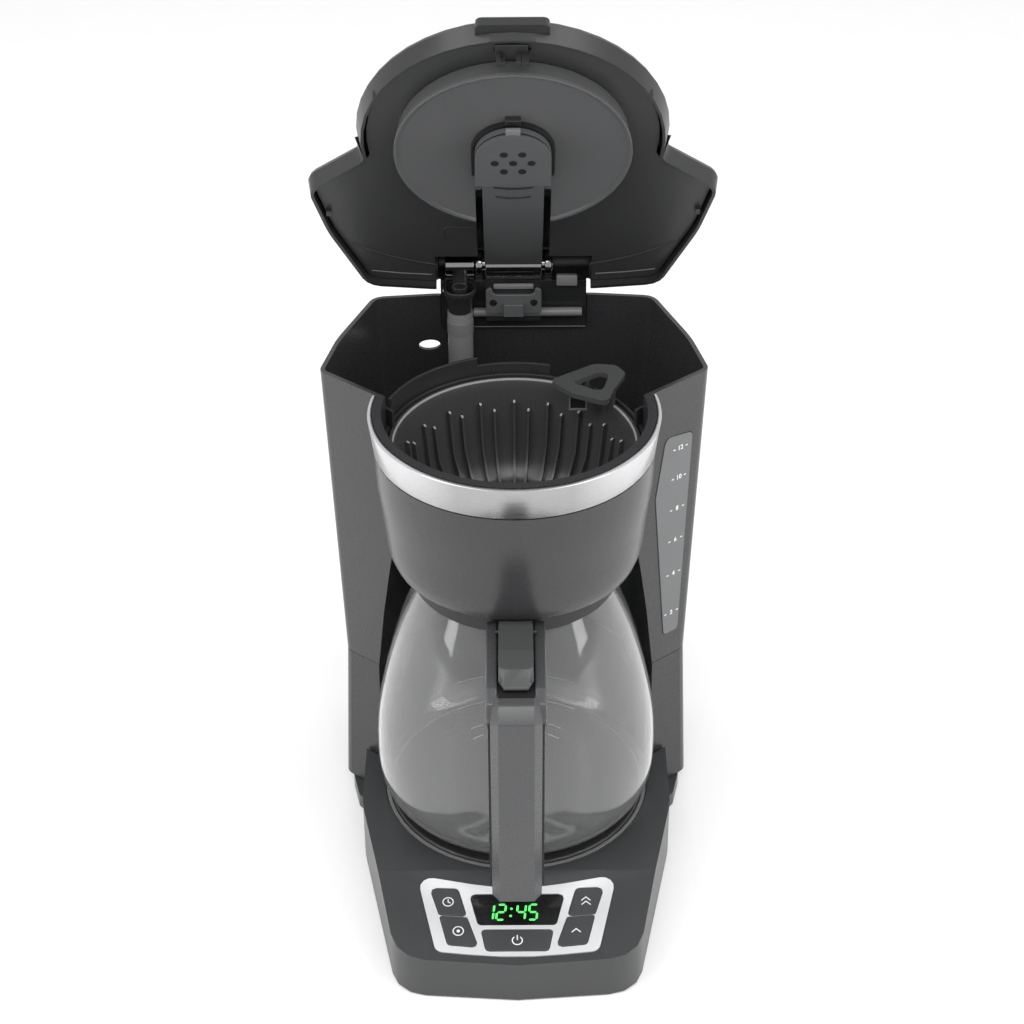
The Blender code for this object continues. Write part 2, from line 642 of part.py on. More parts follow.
def lid_outline(grow, front_r, rear_y):
    """The lid's outline: a round front that runs into the two wings."""
    wings = [(x, y, max(radius, 0.6)) for x, y, radius in offset(tank_corners(WING_INNER), grow)]
    inner, outer, middle, rear, mark = wings[1:6]
    stretch = (rear_y - outer[1]) / (mark[1] - outer[1])
    right = [inner, outer] + [(x, outer[1] + (y - outer[1]) * stretch, r) for x, y, r in (middle, rear, mark)]
    lift = math.degrees(math.asin(min((inner[1] - 3.5) / front_r, 0.9)))
    front = [(x, y, 0.0) for x, y in arc((0, 0), front_r, lift - 180 - 2 * lift, lift, 24)]
    left = [(-x, y, r) for x, y, r in reversed(right)]
    return rounded(front + right + left)


def loft(name, sections, spec, parent):
    """A closed skin over outlines that have the same number of points."""
    def build(b):
        rings = []
        for height, outline in sections:
            rings.append([b.verts.new((x, y, height)) for x, y in outline])
        for low, high in zip(rings, rings[1:]):
            for i, vertex in enumerate(low):
                following = (i + 1) % len(low)
                b.faces.new((vertex, low[following], high[following], high[i]))
        b.faces.new(list(reversed(rings[0])))
        b.faces.new(rings[-1])
        bmesh.ops.recalc_face_normals(b, faces=b.faces)

    made = put(name, mesh_from(build), spec, parent)
    smooth(made, 40)
    return made


def lid_loft(name, thinner, spec):
    sections = []
    for i, (height, grow, front_r, rear_y) in enumerate(LID_SECTIONS):
        if thinner:
            height = (height - 5.0) if i == 0 else height + (0.4 if i == 1 else -1.6)
        sections.append((height, lid_outline(grow - thinner, front_r - thinner, rear_y - thinner)))
    return loft(name, sections, spec, lid_pivot)


def lid():
    shell = lid_loft("lid_shell", 0.0, DARK)
    tab = rounded([(-17.4, -66, 0), (-17.4, -81.0, 3.0), (17.4, -81.0, 3.0), (17.4, -66, 0)])
    join(shell, flat("lid_tab", [tab], 284.6, 289.4, None, lid_pivot))
    cut(shell, lid_loft("lid_room", 2.2, None))
    cut(shell, box("hinge_room", (-41.5, 100.5, 270), (41.5, 140, 303.2), None, lid_pivot))
    inner_r, outer_r = HOOD_R
    centre = (HINGE_Y, HINGE_Z)
    curl = arc(centre, outer_r, -28, 125, 20) + arc(centre, inner_r, 125, -28, 20)
    join(shell, flat("lid_curl", [curl], -HOOD_HALF_WIDTH, HOOD_HALF_WIDTH, None, lid_pivot, side_frame()))
    for side, x in (("left", 0.6 - HOOD_HALF_WIDTH), ("right", HOOD_HALF_WIDTH - 2.1)):
        cheek = rod("curl_end_" + side, (x, *centre), (x + 1.5, *centre), outer_r - 0.5, None, lid_pivot, 40)
        join(shell, cheek)
    liner_outline = lid_outline(LID_OVERHANG - 2.6, LID_FRONT_R - 2.6, 122.0)
    liner = flat("lid_liner", [liner_outline], LINER_Z, LINER_Z + 1.5, BLACK, lid_pivot)
    cut(liner, box("liner_notch", (-41.8, 100.2, 270), (41.8, 140, 300), None, lid_pivot))
    cut(liner, box("liner_slot", (-19, 48, 270), (19, 101, 300), None, lid_pivot))
    profile = [(0, 278.2), (55.6, 276.8), (55.6, 283.7), (57.2, 283.7), (57.2, 276.4), (DISC_R, 275.6),
               (DISC_R, DISC_Z), (57.4, DISC_Z), (56.0, 274.4), (0, 276.4)]
    disc = turned("lid_disc", profile, BLACK, lid_pivot, closed=False)
    cut(disc, box("disc_slot", (-19, 30.5, 270), (19, 70, 290), None, lid_pivot))
    latch = box("lid_latch", (-8.6, -66.2, 281.6), (8.6, -61.5, 283.7), BLACK, lid_pivot)
    for side, x in (("left", -6.0), ("right", 6.0)):
        prong = box("latch_prong_" + side, (x - 1.8, -66.0, 274.5), (x + 1.8, -63.6, 282), None, lid_pivot)
        join(latch, prong)


def spray_outline():
    radius = 18.8
    return arc((0, -2.2), radius, 180, 360, 16) + [(radius, 17.0), (-radius, 17.0)]


def sprayer():
    side = [(10.0, 270.2), (17.0, 269.4), (60.0, 275.6), (96.0, 285.6), (119.0, 292.2), (121.0, 300.0),
            (104.0, 300.0), (97.0, 294.0), (60.0, 282.4), (30.0, 274.4), (10.0, 273.2)]
    arm = flat("spray_arm", [side], -15.4, 15.4, BLACK, lid_pivot, side_frame())
    join(arm, flat("spray_cap", [spray_outline()], 270.2, 273.2, None, lid_pivot))
    axis = (HINGE_Y, HINGE_Z)
    join(arm, rod("arm_barrel", (-15.3, *axis), (15.3, *axis), 5.9, None, lid_pivot, 28))
    cut(arm, rod("arm_bore", (-20, *axis), (20, *axis), 3.9, None, lid_pivot, 24))
    head = flat("spray_head", [spray_outline()], 267.0, 269.0, BLACK, lid_pivot)
    holes = [(0, 0)] + [(9.0 * math.cos(math.pi * k / 3), 7.6 * math.sin(math.pi * k / 3)) for k in range(6)]
    for i, (x, y) in enumerate(holes):
        cut(head, rod(f"spray_hole_{i}", (x, y - 1, 260), (x, y - 1, 280), 1.4, None, lid_pivot, 10))


def ear(name, low_x, high_x, spec):
    """An upright that carries the hinge tube."""
    side = arc((HINGE_Y, HINGE_Z), 5.8, -115, 200, 18) + [(117.6, 280.0), (121.4, 280.0)]
    return flat(name, [side], low_x, high_x, spec, machine, side_frame())


def hinge():
    bracket = box("hinge_bracket", (-39.6, 117.4, 261.3), (39.6, 121.6, 289.8), BLACK, machine)
    for name, low_x, high_x in (("left_ear", -20.4, -16.8), ("right_ear", 17.0, 20.8)):
        join(bracket, ear(name, low_x, high_x, None))
    join(bracket, box("bracket_block", (-14.9, 111.8, 268.2), (14.9, 117.6, 286.8), None, machine))
    cut(bracket, rod("ear_bores", (-30, HINGE_Y, HINGE_Z), (30, HINGE_Y, HINGE_Z), 3.9, None, machine, 24))
    cut(bracket, rod("rod_bore", (-30, 114.4, 272.4), (30, 114.4, 272.4), 2.9, None, machine, 16))
    cut(bracket, rod("riser_notch", (*RISER, 250), (*RISER, 283), RISER_R + 1.3, None, machine))
    cut(bracket, rod("collar_notch", (*RISER, 282.5), (*RISER, 295), 9.6, None, machine))
    rod("hinge_rod", (-22.0, 114.4, 272.4), (37.2, 114.4, 272.4), 2.5, SILICONE, machine, 16)
    rod("swivel_tube", (-20.8, HINGE_Y, HINGE_Z), (21.3, HINGE_Y, HINGE_Z), 3.5, STEEL, machine, 24)
    box("hinge_stop", (23.3, 113.9, 288.2), (34.5, 117.1, 294.6), SILICONE, machine, bevel=0.6)
    box("hinge_clip", (-10.8, 112.6, 287.1), (10.8, 114.8, 290.0), SILICONE, machine, bevel=0.4)
    for side, x in (("left", -11.0), ("right", 11.0)):
        rod("bracket_screw_" + side, (x, 109.9, 280.4), (x, 111.5, 280.4), 2.5, STEEL, machine, 12)
    x, y = RISER
    profile = [(9.2, 289.0), (9.2, 286.8), (7.8, 284.4), (6.4, 275.3), (4.4, 275.3), (5.2, 284.6),
               (7.8, 287.4), (7.8, 289.0)]
    turned("riser_collar", profile, BLACK, machine, 28, centre=RISER)
    elbow = rod("water_elbow", (x, y, 285.2), (x, y, HINGE_Z), 4.4, BLACK, machine, 20)
    join(elbow, rod("elbow_run", (x, y - 0.1, HINGE_Z), (x, HINGE_Y, HINGE_Z), 4.4, None, machine, 20))
    axis = (HINGE_Y, HINGE_Z)
    join(elbow, rod("elbow_end", (-37.6, *axis), (-21.1, *axis), 5.2, None, machine, 20))


# ---------------------------------------------------------------- carafe

GLASS_PROFILE = (  # radius and height of the outer face, from the neck down
    (50.4, 186.5), (50.2, 180.5), (52.0, 175.0), (56.8, 163.0), (63.0, 145.5), (69.2, 122.5), (73.9, 100.0),
    (75.9, 85.0), (CARAFE_R, 70.5), (76.0, 59.0), (74.2, 50.5), (70.6, 44.0), (65.8, 40.0),
    (60.0, CARAFE_BASE_Z))


def carafe():
    inner = [(radius - GLASS, height) for radius, height in reversed(GLASS_PROFILE[:-2])]
    floor = [(0, CARAFE_BASE_Z + 2.4), (59.0, CARAFE_BASE_Z + 2.4), (64.4, 42.4)]
    profile = floor + inner + list(GLASS_PROFILE) + [(0, CARAFE_BASE_Z)]
    turned("carafe_glass", profile, GLASS_CLEAR, carafe_slide, closed=False)
    low, high = COLLAR_Z
    turned("carafe_collar", [(54.0, high), (54.0, low), (50.9, low), (50.9, high)], BLACK, carafe_slide)
    side = [(-54.4, 181.0, 0), (-54.4, 188.6, 0), (-84.0, 188.6, 1.0), (-88.0, 186.0, 1.0),
            (-109.0, 186.0, 2.0), (-119.0, 184.5, 4.0), (-125.4, 175.0, 6.0), (-123.8, 110.0, 60.0),
            (-120.0, 57.5, 1.5), (-117.0, 55.4, 1.0), (-108.0, 57.0, 2.0), (-106.4, 62.0, 2.0),
            (-110.5, 110.0, 60.0), (-112.0, 160.0, 8.0), (-103.0, 175.0, 8.0), (-80.0, 179.0, 10.0)]
    outline = rounded(list(reversed(side)))
    handle = flat("carafe_handle", [outline], -HANDLE_HALF_WIDTH, HANDLE_HALF_WIDTH, DARK, carafe_slide,
                  side_frame())
    soften(handle, 2.6, 1, 50)
    rod("handle_screw", (0, -64, 178.2), (0, -64, 179.6), 2.6, STEEL, carafe_slide, 12)


def carafe_lid():
    profile = [(0, 193.4), (6.0, 193.4), (6.6, 192.4), (48.0, 191.6), (49.0, 191.2), (49.0, 190.2),
               (0, 190.2)]
    top = turned("carafe_lid", profile, BLACK, carafe_pivot, closed=False)
    side = [(-44.0, 190.4), (-44.0, 193.0), (-60.0, 193.3), (-66.0, 195.4), (-86.0, 195.2), (-93.0, 194.6),
            (-106.6, 190.6),
            (-106.0, 188.8), (-90.0, 190.6), (-62.0, 190.4)]
    join(top, flat("thumb_lever", [list(reversed(side))], -8.0, 8.0, None, carafe_pivot, side_frame()))
    cut(top, rod("pin_bore", (-20, *CARAFE_PIVOT), (20, *CARAFE_PIVOT), 1.3, None, carafe_pivot, 12))
    rod("carafe_pin", (-10.5, *CARAFE_PIVOT), (10.5, *CARAFE_PIVOT), 1.0, STEEL, carafe_slide, 12)


base_housing()
bottom_parts()
warming_parts()
hoses()
control_panel()
lower_housing()
upper_housing()
trim_and_window()
brew_chamber()
filter_basket()
drip_stop()
lid()
sprayer()
hinge()
carafe()
carafe_lid()

# the lid stands open, and the whole machine is centred on the origin
lid_pivot.rotation_euler.x = -LID_OPEN
machine.location.y = Y_CENTRE * MM
bpy.context.view_layer.update()
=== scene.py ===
"""Looks of a drip coffee maker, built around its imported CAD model.

Outlines are written in millimetres around the brewing axis, with the front towards -Y, and each
piece is moved into the model's frame when it is made. Pieces of the lid are written with the lid
closed, and are then turned to where it stands open.
"""
import json
import math

import bmesh
import bpy
from mathutils import Matrix, Vector


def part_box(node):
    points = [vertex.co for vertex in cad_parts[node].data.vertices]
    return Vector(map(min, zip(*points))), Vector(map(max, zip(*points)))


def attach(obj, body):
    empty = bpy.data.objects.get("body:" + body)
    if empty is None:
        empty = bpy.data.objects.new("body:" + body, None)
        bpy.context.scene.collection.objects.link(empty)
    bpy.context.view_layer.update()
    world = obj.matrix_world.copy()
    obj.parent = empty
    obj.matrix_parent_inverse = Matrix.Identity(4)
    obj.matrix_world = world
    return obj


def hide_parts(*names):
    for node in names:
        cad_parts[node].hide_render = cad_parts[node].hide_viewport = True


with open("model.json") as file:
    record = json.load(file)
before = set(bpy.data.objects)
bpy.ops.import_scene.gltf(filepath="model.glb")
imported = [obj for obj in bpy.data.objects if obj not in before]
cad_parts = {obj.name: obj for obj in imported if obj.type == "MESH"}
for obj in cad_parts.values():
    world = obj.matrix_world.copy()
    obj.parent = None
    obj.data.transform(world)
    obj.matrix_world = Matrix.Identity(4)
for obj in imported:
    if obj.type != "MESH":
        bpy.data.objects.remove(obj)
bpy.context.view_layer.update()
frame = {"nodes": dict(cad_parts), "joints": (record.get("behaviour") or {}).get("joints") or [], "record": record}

MM = 0.001
SEGMENTS = 128  # around a turned piece
RELIEF = 0.0002  # metres, the depth that a bump stands for
JOINTS = {joint["name"]: joint for joint in frame["joints"]}


def box_mm(node):
    """A node's lowest and highest corner in millimetres around the brewing axis."""
    low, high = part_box(node)
    return (low - AXIS) / MM, (high - AXIS) / MM


plate_low, plate_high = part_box("warming_plate")
AXIS = Vector((0, (plate_low.y + plate_high.y) / 2, 0))
TO_FRAME = Matrix.Translation(AXIS) @ Matrix.Scale(MM, 4)

hinge_joint = JOINTS["lid_hinge"]
HINGE = (Vector(hinge_joint["pos_m"]) - AXIS) / MM
LID_OPEN = math.radians(hinge_joint["range_deg"][1])
OPEN_LID = Matrix.Translation(HINGE) @ Matrix.Rotation(-LID_OPEN, 4, "X") @ Matrix.Translation(-HINGE)

riser_low, riser_high = box_mm("riser_tube")
RISER = ((riser_low.x + riser_high.x) / 2, (riser_low.y + riser_high.y) / 2)


# ---------------------------------------------------------------- materials

def node_tree(name):
    made = bpy.data.materials.new(name)
    made.use_nodes = True
    tree = made.node_tree
    return made, tree, tree.nodes["Principled BSDF"]


def noise(tree, scale, detail=3.0, stretch=None):
    """Noise in the model's own metres; stretch scales the axes to draw it out into lines."""
    place = tree.nodes.new("ShaderNodeTexCoord").outputs["Object"]
    if stretch:
        mapping = tree.nodes.new("ShaderNodeMapping")
        mapping.inputs["Scale"].default_value = stretch
        tree.links.new(place, mapping.inputs["Vector"])
        place = mapping.outputs["Vector"]
    made = tree.nodes.new("ShaderNodeTexNoise")
    made.inputs["Scale"].default_value = scale
    made.inputs["Detail"].default_value = detail
    tree.links.new(place, made.inputs["Vector"])
    return made.outputs["Fac"]


def spread(tree, source, low, high, socket):
    """Send a noise to a shader's socket as a value from low to high."""
    ranged = tree.nodes.new("ShaderNodeMapRange")
    ranged.inputs["From Min"].default_value = 0.3
    ranged.inputs["From Max"].default_value = 0.7
    ranged.inputs["To Min"].default_value = low
    ranged.inputs["To Max"].default_value = high
    tree.links.new(source, ranged.inputs["Value"])
    tree.links.new(ranged.outputs["Result"], socket)


def colour_input(mix, name):
    return next(socket for socket in mix.inputs if socket.name == name and socket.type == "RGBA")


def material(name, colour, roughness, mottle=0.10, grain=2600.0, bump=0.06, stretch=None, vary=0.05, **fixed):
    """A surface with a soft mottle in its colour, a fine grain in its gloss, and a little relief."""
    made, tree, shader = node_tree(name)
    mix = tree.nodes.new("ShaderNodeMix")
    mix.data_type = "RGBA"
    tree.links.new(noise(tree, 24.0), mix.inputs["Factor"])
    for socket, share in (("A", 1 - mottle), ("B", 1 + mottle)):
        tint = [min(channel * share, 1.0) for channel in colour]
        colour_input(mix, socket).default_value = (*tint, 1.0)
    blended = next(socket for socket in mix.outputs if socket.type == "RGBA")
    tree.links.new(blended, shader.inputs["Base Color"])
    fine = noise(tree, grain, 4.0, stretch)
    spread(tree, fine, max(roughness - vary, 0.0), roughness + vary, shader.inputs["Roughness"])
    if bump:
        relief = tree.nodes.new("ShaderNodeBump")
        relief.inputs["Strength"].default_value = bump
        relief.inputs["Distance"].default_value = RELIEF
        tree.links.new(fine, relief.inputs["Height"])
        tree.links.new(relief.outputs["Normal"], shader.inputs["Normal"])
    for socket, value in fixed.items():
        shader.inputs[socket.replace("_", " ")].default_value = value
    return made


def paint_reflection_centre(made, centre, near, far):
    """Give a surface a painted reflection: the grey called centre within near metres of x = 0, and its own colour
    beyond far.
    """
    tree = made.node_tree
    place = tree.nodes.new("ShaderNodeTexCoord").outputs["Object"]
    split = tree.nodes.new("ShaderNodeSeparateXYZ")
    tree.links.new(place, split.inputs["Vector"])
    distance = tree.nodes.new("ShaderNodeMath")
    distance.operation = "ABSOLUTE"
    tree.links.new(split.outputs["X"], distance.inputs[0])
    ranged = tree.nodes.new("ShaderNodeMapRange")
    ranged.inputs["From Min"].default_value = near
    ranged.inputs["From Max"].default_value = far
    tree.links.new(distance.outputs["Value"], ranged.inputs["Value"])
    mix = next(node for node in tree.nodes if node.bl_idname == "ShaderNodeMix")
    tree.links.new(ranged.outputs["Result"], mix.inputs["Factor"])
    colour_input(mix, "A").default_value = (centre, centre, centre, 1.0)


CASING = material("casing_plastic", (0.030, 0.0305, 0.032), 0.28, 0.05, 3200.0, 0.02)
DECK = material("deck_plastic", (0.040, 0.041, 0.0425), 0.34, 0.05, 3200.0, 0.05)
LID_PLASTIC = material("lid_plastic", (0.020, 0.0205, 0.0215), 0.34, 0.06, 3000.0, 0.05)
INNER = material("inner_plastic", (0.016, 0.0165, 0.017), 0.42, 0.10, 2400.0, 0.08)
GLOSS = material("polished_plastic", (0.022, 0.0225, 0.023), 0.10, 0.06, 900.0, 0.015)
BASKET = material("basket_plastic", (0.054, 0.0545, 0.0555), 0.30, 0.08, 2200.0, 0.05)
BASKET_LIGHT = material("basket_rim_plastic", (0.060, 0.061, 0.062), 0.22, 0.03, 2200.0, 0.01, vary=0.02)
CHAMBER = material("partition_plastic", (0.024, 0.0245, 0.025), 0.34, 0.08, 2200.0, 0.05)
LID_INNER = material("lid_lining", (0.032, 0.0325, 0.033), 0.36, 0.06, 2600.0, 0.05)
DISC = material("lid_disc_plastic", (0.085, 0.086, 0.088), 0.18, 0.02, 1600.0, 0.0, vary=0.02)
ARM = material("arm_plastic", (0.080, 0.082, 0.084), 0.33, 0.05, 2600.0, 0.05)
BARREL = material("dark_barrel", (0.30, 0.30, 0.31), 0.13, 0.03, 900.0, 0.0, vary=0.02, Metallic=1.0)
INNER_GLOSS = material("bracket_plastic", (0.018, 0.0185, 0.019), 0.20, 0.08, 1600.0, 0.04)
# A light grey for painted highlights on the basket's rim and rib tips.
RIM_HIGHLIGHT = material("basket_edge_painted_highlight", (0.34, 0.34, 0.345), 0.25, 0.04, 2200.0, 0.0, vary=0.02)
JUG_COVER = material("jug_cover_plastic", (0.055, 0.056, 0.057), 0.32, 0.06, 2600.0, 0.05)
# A light grey for painted highlights on ridges and edges.
RIDGE_HIGHLIGHT = material("painted_ridge_highlight", (0.11, 0.11, 0.112), 0.35, 0.06, 2600.0, 0.05)
# A near black that stands for painted shade in slots, holes, grooves and gaps, and under the head.
SHADE_BLACK = material("painted_shade_black", (0.006, 0.006, 0.0062), 0.50, 0.10, 2600.0, 0.05)
HANDLE = material("handle_plastic", (0.058, 0.059, 0.061), 0.26, 0.04, 2800.0, 0.03)
BUTTON = material("button_plastic", (0.047, 0.048, 0.050), 0.36, 0.06, 2600.0, 0.06)
BAND = material("brushed_band", (0.66, 0.66, 0.67), 0.26, 0.03, 1.0, 0.05, (60.0, 60.0, 9000.0), Metallic=1.0)
# The band's grey centre and bright sides are a painted reflection, not a colour of the metal.
paint_reflection_centre(BAND, 0.36, 0.028, 0.056)
BEZEL = material("silver_bezel", (0.86, 0.87, 0.88), 0.24, 0.01, 3000.0, 0.0, vary=0.02, Metallic=0.4)
STEEL = material("plain_steel", (0.60, 0.60, 0.61), 0.26, 0.06, 1800.0, 0.05, Metallic=1.0)
RUBBER = material("soft_rubber", (0.016, 0.016, 0.016), 0.75, 0.15, 1500.0, 0.25)
MILKY = material("milky_silicone", (0.18, 0.18, 0.178), 0.40, 0.06, 900.0, 0.04)
MILKY_DARK = material("milky_ring", (0.15, 0.15, 0.15), 0.42, 0.08, 900.0, 0.05)
PALE = material("pale_plastic", (0.15, 0.15, 0.15), 0.40, 0.08, 2200.0, 0.06)
SMOKED = material("smoked_window", (0.13, 0.132, 0.135), 0.16, 0.05, 700.0, 0.02)
LENS = material("display_lens", (0.004, 0.0042, 0.0044), 0.06, 0.10, 600.0, 0.01)
COATING = material("plate_coating", (0.030, 0.030, 0.031), 0.33, 0.12, 5200.0, 0.20, Metallic=0.3)
BOARD = material("circuit_board", (0.03, 0.15, 0.07), 0.45, 0.2, 1200.0, 0.1)
MARKING = material("white_marking", (0.80, 0.80, 0.80), 0.50, 0.04, 2400.0, 0.04)
# A grey for painted glints in the glass.
GLINT_GREY = material("painted_glint_grey", (0.52, 0.52, 0.52), 0.50, 0.05, 2400.0, 0.04)
DIGIT = material("lit_segment", (0.05, 0.60, 0.09), 0.40, 0.10, 1500.0, 0.02,
                 Emission_Color=(0.11, 0.95, 0.14, 1.0), Emission_Strength=0.9)
GLASS = material("clear_glass", (0.90, 0.905, 0.905), 0.02, 0.0, 60.0, 0.0, vary=0.0,
                 Transmission_Weight=0.94, IOR=1.45)
FLOOR = material("pale_floor", (0.985, 0.985, 0.985), 0.60, 0.01, 300.0, 0.02)


# ---------------------------------------------------------------- building

WELD = 0.000004  # metres, under which corners of a CAD mesh are one
FLAT_ANGLE = math.radians(0.6)  # under which its neighbouring faces are one


def emit(name, fill, finish, body="root", stands_for=(), slot=None, lid=False, **edges):
    """Make a piece from a function that fills a bmesh in millimetres, and hang it on a body."""
    work = bmesh.new()
    fill(work)
    bmesh.ops.recalc_face_normals(work, faces=work.faces)
    work.transform(TO_FRAME @ OPEN_LID if lid else TO_FRAME)
    mesh = bpy.data.meshes.new(name)
    work.to_mesh(mesh)
    work.free()
    dress(name, mesh, finish, body, stands_for, slot, **edges)


def dress(name, mesh, finish, body, stands_for, slot, sharp=35.0, bevel=0.0, segments=2, bevel_angle=30.0):
    """Make an object of a mesh. The bevel is in millimetres, and both angles are in degrees."""
    mesh.materials.clear()
    mesh.materials.append(finish)
    mesh.shade_smooth()
    mesh.set_sharp_from_angle(angle=math.radians(sharp))
    piece = bpy.data.objects.new(name, mesh)
    bpy.context.scene.collection.objects.link(piece)
    if bevel:
        edge = piece.modifiers.new("rounded edges", "BEVEL")
        edge.width = bevel * MM
        edge.segments = segments
        edge.limit_method = "ANGLE"
        edge.angle_limit = math.radians(bevel_angle)
        edge.harden_normals = True
    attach(piece, body)
    if stands_for:
        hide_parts(*stands_for)


SLOT_OF = {part["node"]: part["material_slot"] for part in frame["record"]["subparts"]}
BODY_OF = {node: body for body, nodes in frame["record"]["behaviour"]["bodies"].items() for node in nodes}


def refine(node, finish, bevel=0.4, segments=2):
    """A copy of a CAD node with its flat faces cleaned and its edges rounded."""
    work = bmesh.new()
    work.from_mesh(frame["nodes"][node].data)
    bmesh.ops.remove_doubles(work, verts=work.verts, dist=WELD)
    bmesh.ops.dissolve_limit(work, angle_limit=FLAT_ANGLE, verts=work.verts, edges=work.edges)
    mesh = bpy.data.meshes.new(node)
    work.to_mesh(mesh)
    work.free()
    dress(node + "_fine", mesh, finish, BODY_OF[node], [node], SLOT_OF[node], bevel=bevel, segments=segments)


def repaint(node, finish):
    """Show a CAD node as it is, in another material."""
    piece = frame["nodes"][node]
    piece.data.materials.clear()
    piece.data.materials.append(finish)


def lathe(profile, segments=SEGMENTS, centre=(0.0, 0.0)):
    """A filler that turns a profile of (radius, height) about a vertical axis."""
    def fill(work):
        rings = []
        for radius, height in profile:
            if radius < 1e-6:
                rings.append([work.verts.new((centre[0], centre[1], height))])
                continue
            rings.append([])
            for i in range(segments):
                turn = 2 * math.pi * i / segments
                x, y = centre[0] + radius * math.cos(turn), centre[1] + radius * math.sin(turn)
                rings[-1].append(work.verts.new((x, y, height)))
        for first, second in zip(rings, rings[1:] + rings[:1]):
            if len(first) == 1 and len(second) == 1:
                continue
            for i in range(segments):
                j = (i + 1) % segments
                if len(first) == 1:
                    work.faces.new([first[0], second[i], second[j]])
                elif len(second) == 1:
                    work.faces.new([first[i], first[j], second[0]])
                else:
                    work.faces.new([first[i], first[j], second[j], second[i]])
    return fill


def swept(profile, start, end, steps):
    """A filler that carries a closed (radius, height) profile round part of a circle, in degrees."""
    def fill(work):
        rings = []
        for i in range(steps + 1):
            turn = math.radians(start + (end - start) * i / steps)
            rings.append([work.verts.new((r * math.cos(turn), r * math.sin(turn), z)) for r, z in profile])
        for first, second in zip(rings, rings[1:]):
            for i in range(len(profile)):
                j = (i + 1) % len(profile)
                work.faces.new([first[i], first[j], second[j], second[i]])
        work.faces.new(rings[0])
        work.faces.new(list(reversed(rings[-1])))
    return fill


def flowing(points, steps=5):
    """More points on a smooth curve through the given ones."""
    spread_out = []
    count = len(points)
    for i in range(count - 1):
        nearby = [min(max(k, 0), count - 1) for k in range(i - 1, i + 3)]
        before, first, second, after = (Vector(points[k]) for k in nearby)
        for step in range(steps):
            t = step / steps
            place = first * 2 + (second - before) * t + (before * 2 - first * 5 + second * 4 - after) * t ** 2
            place += (first * 3 - before - second * 3 + after) * t ** 3
            spread_out.append(tuple(place / 2))
    return spread_out + [tuple(points[-1])]


def wire(points, radius, segments=12):
    """A filler for a thin round bar along a row of points."""
    pairs = list(zip(points, points[1:]))
    return several(*[bar(first, second, radius, segments=segments) for first, second in pairs])


def stroke(points, width):
    """The outline of a line of even width along (x, y) points."""
    left, right = [], []
    for i, point in enumerate(points):
        here = Vector(point)
        before = (here - Vector(points[i - 1])).normalized() if i else None
        after = (Vector(points[i + 1]) - here).normalized() if i + 1 < len(points) else None
        along = ((before or after) + (after or before)).normalized()
        across = Vector((-along.y, along.x))
        stretch = 1.0 if before is None or after is None else 1.0 / max(along.dot(after), 0.5)
        left.append(tuple(here + across * width / 2 * stretch))
        right.append(tuple(here - across * width / 2 * stretch))
    return left + right[::-1]


def arc(centre, radius, start, end, steps):
    turns = [math.radians(start + (end - start) * i / steps) for i in range(steps + 1)]
    return [(centre[0] + radius * math.cos(a), centre[1] + radius * math.sin(a)) for a in turns]


def circle(centre, radius, steps):
    return arc(centre, radius, 0, 360, steps)[:-1]


def rounded(corners, steps=5):
    """A closed outline from (x, y, radius) corners, each rounded by an arc."""
    points = []
    for i, (x, y, radius) in enumerate(corners):
        here = Vector((x, y))
        before = (Vector(corners[i - 1][:2]) - here).normalized()
        after = (Vector(corners[(i + 1) % len(corners)][:2]) - here).normalized()
        half = before.angle(after) / 2
        if radius <= 0 or half > math.radians(89.5):
            points.append((x, y))
            continue
        reach = radius / math.tan(half)
        centre = here + (before + after).normalized() * (radius / math.sin(half))
        first = here + before * reach - centre
        sweep = first.angle_signed(here + after * reach - centre)
        for step in range(steps + 1):
            points.append(tuple(centre + Matrix.Rotation(-sweep * step / steps, 2) @ first))
    return points


def curve_mesh(curve, place):
    """The mesh that a curve gives, moved to its place."""
    guide = bpy.data.objects.new(curve.name, curve)
    bpy.context.scene.collection.objects.link(guide)
    bpy.context.view_layer.update()
    mesh = bpy.data.meshes.new_from_object(guide.evaluated_get(bpy.context.evaluated_depsgraph_get()))
    mesh.transform(place)
    bpy.data.objects.remove(guide, do_unlink=True)
    return mesh


def prism(outlines, low, high, place=None):
    """A filler for a flat outline, with any holes in it, from one height to another."""
    def fill(work):
        curve = bpy.data.curves.new("outline", "CURVE")
        curve.dimensions = "2D"
        curve.fill_mode = "BOTH"
        curve.extrude = (high - low) / 2
        for outline in outlines:
            spline = curve.splines.new("POLY")
            spline.points.add(len(outline) - 1)
            for point, (x, y) in zip(spline.points, outline):
                point.co = (x, y, 0, 1)
            spline.use_cyclic_u = True
        mesh = curve_mesh(curve, (place or Matrix()) @ Matrix.Translation((0, 0, (low + high) / 2)))
        part = bmesh.new()
        part.from_mesh(mesh)
        bmesh.ops.remove_doubles(part, verts=part.verts, dist=0.001)
        bmesh.ops.dissolve_limit(part, angle_limit=0.01, verts=part.verts, edges=part.edges)
        part.to_mesh(mesh)
        part.free()
        work.from_mesh(mesh)
    return fill


def block(low, high):
    """A filler for a box between two corners."""
    def fill(work):
        size = Vector(high) - Vector(low)
        middle = (Vector(low) + Vector(high)) / 2
        bmesh.ops.create_cube(work, size=1, matrix=Matrix.Translation(middle) @ Matrix.Diagonal((*size, 1.0)))
    return fill


def bar(start, end, radius, end_radius=None, segments=32):
    """A filler for a round bar, which narrows if its end has another radius."""
    def fill(work):
        begin, finish = Vector(start), Vector(end)
        along = finish - begin
        place = Matrix.Translation((begin + finish) / 2) @ along.to_track_quat("Z", "Y").to_matrix().to_4x4()
        tip = radius if end_radius is None else end_radius
        bmesh.ops.create_cone(work, cap_ends=True, segments=segments, radius1=radius, radius2=tip,
                              depth=along.length, matrix=place)
    return fill


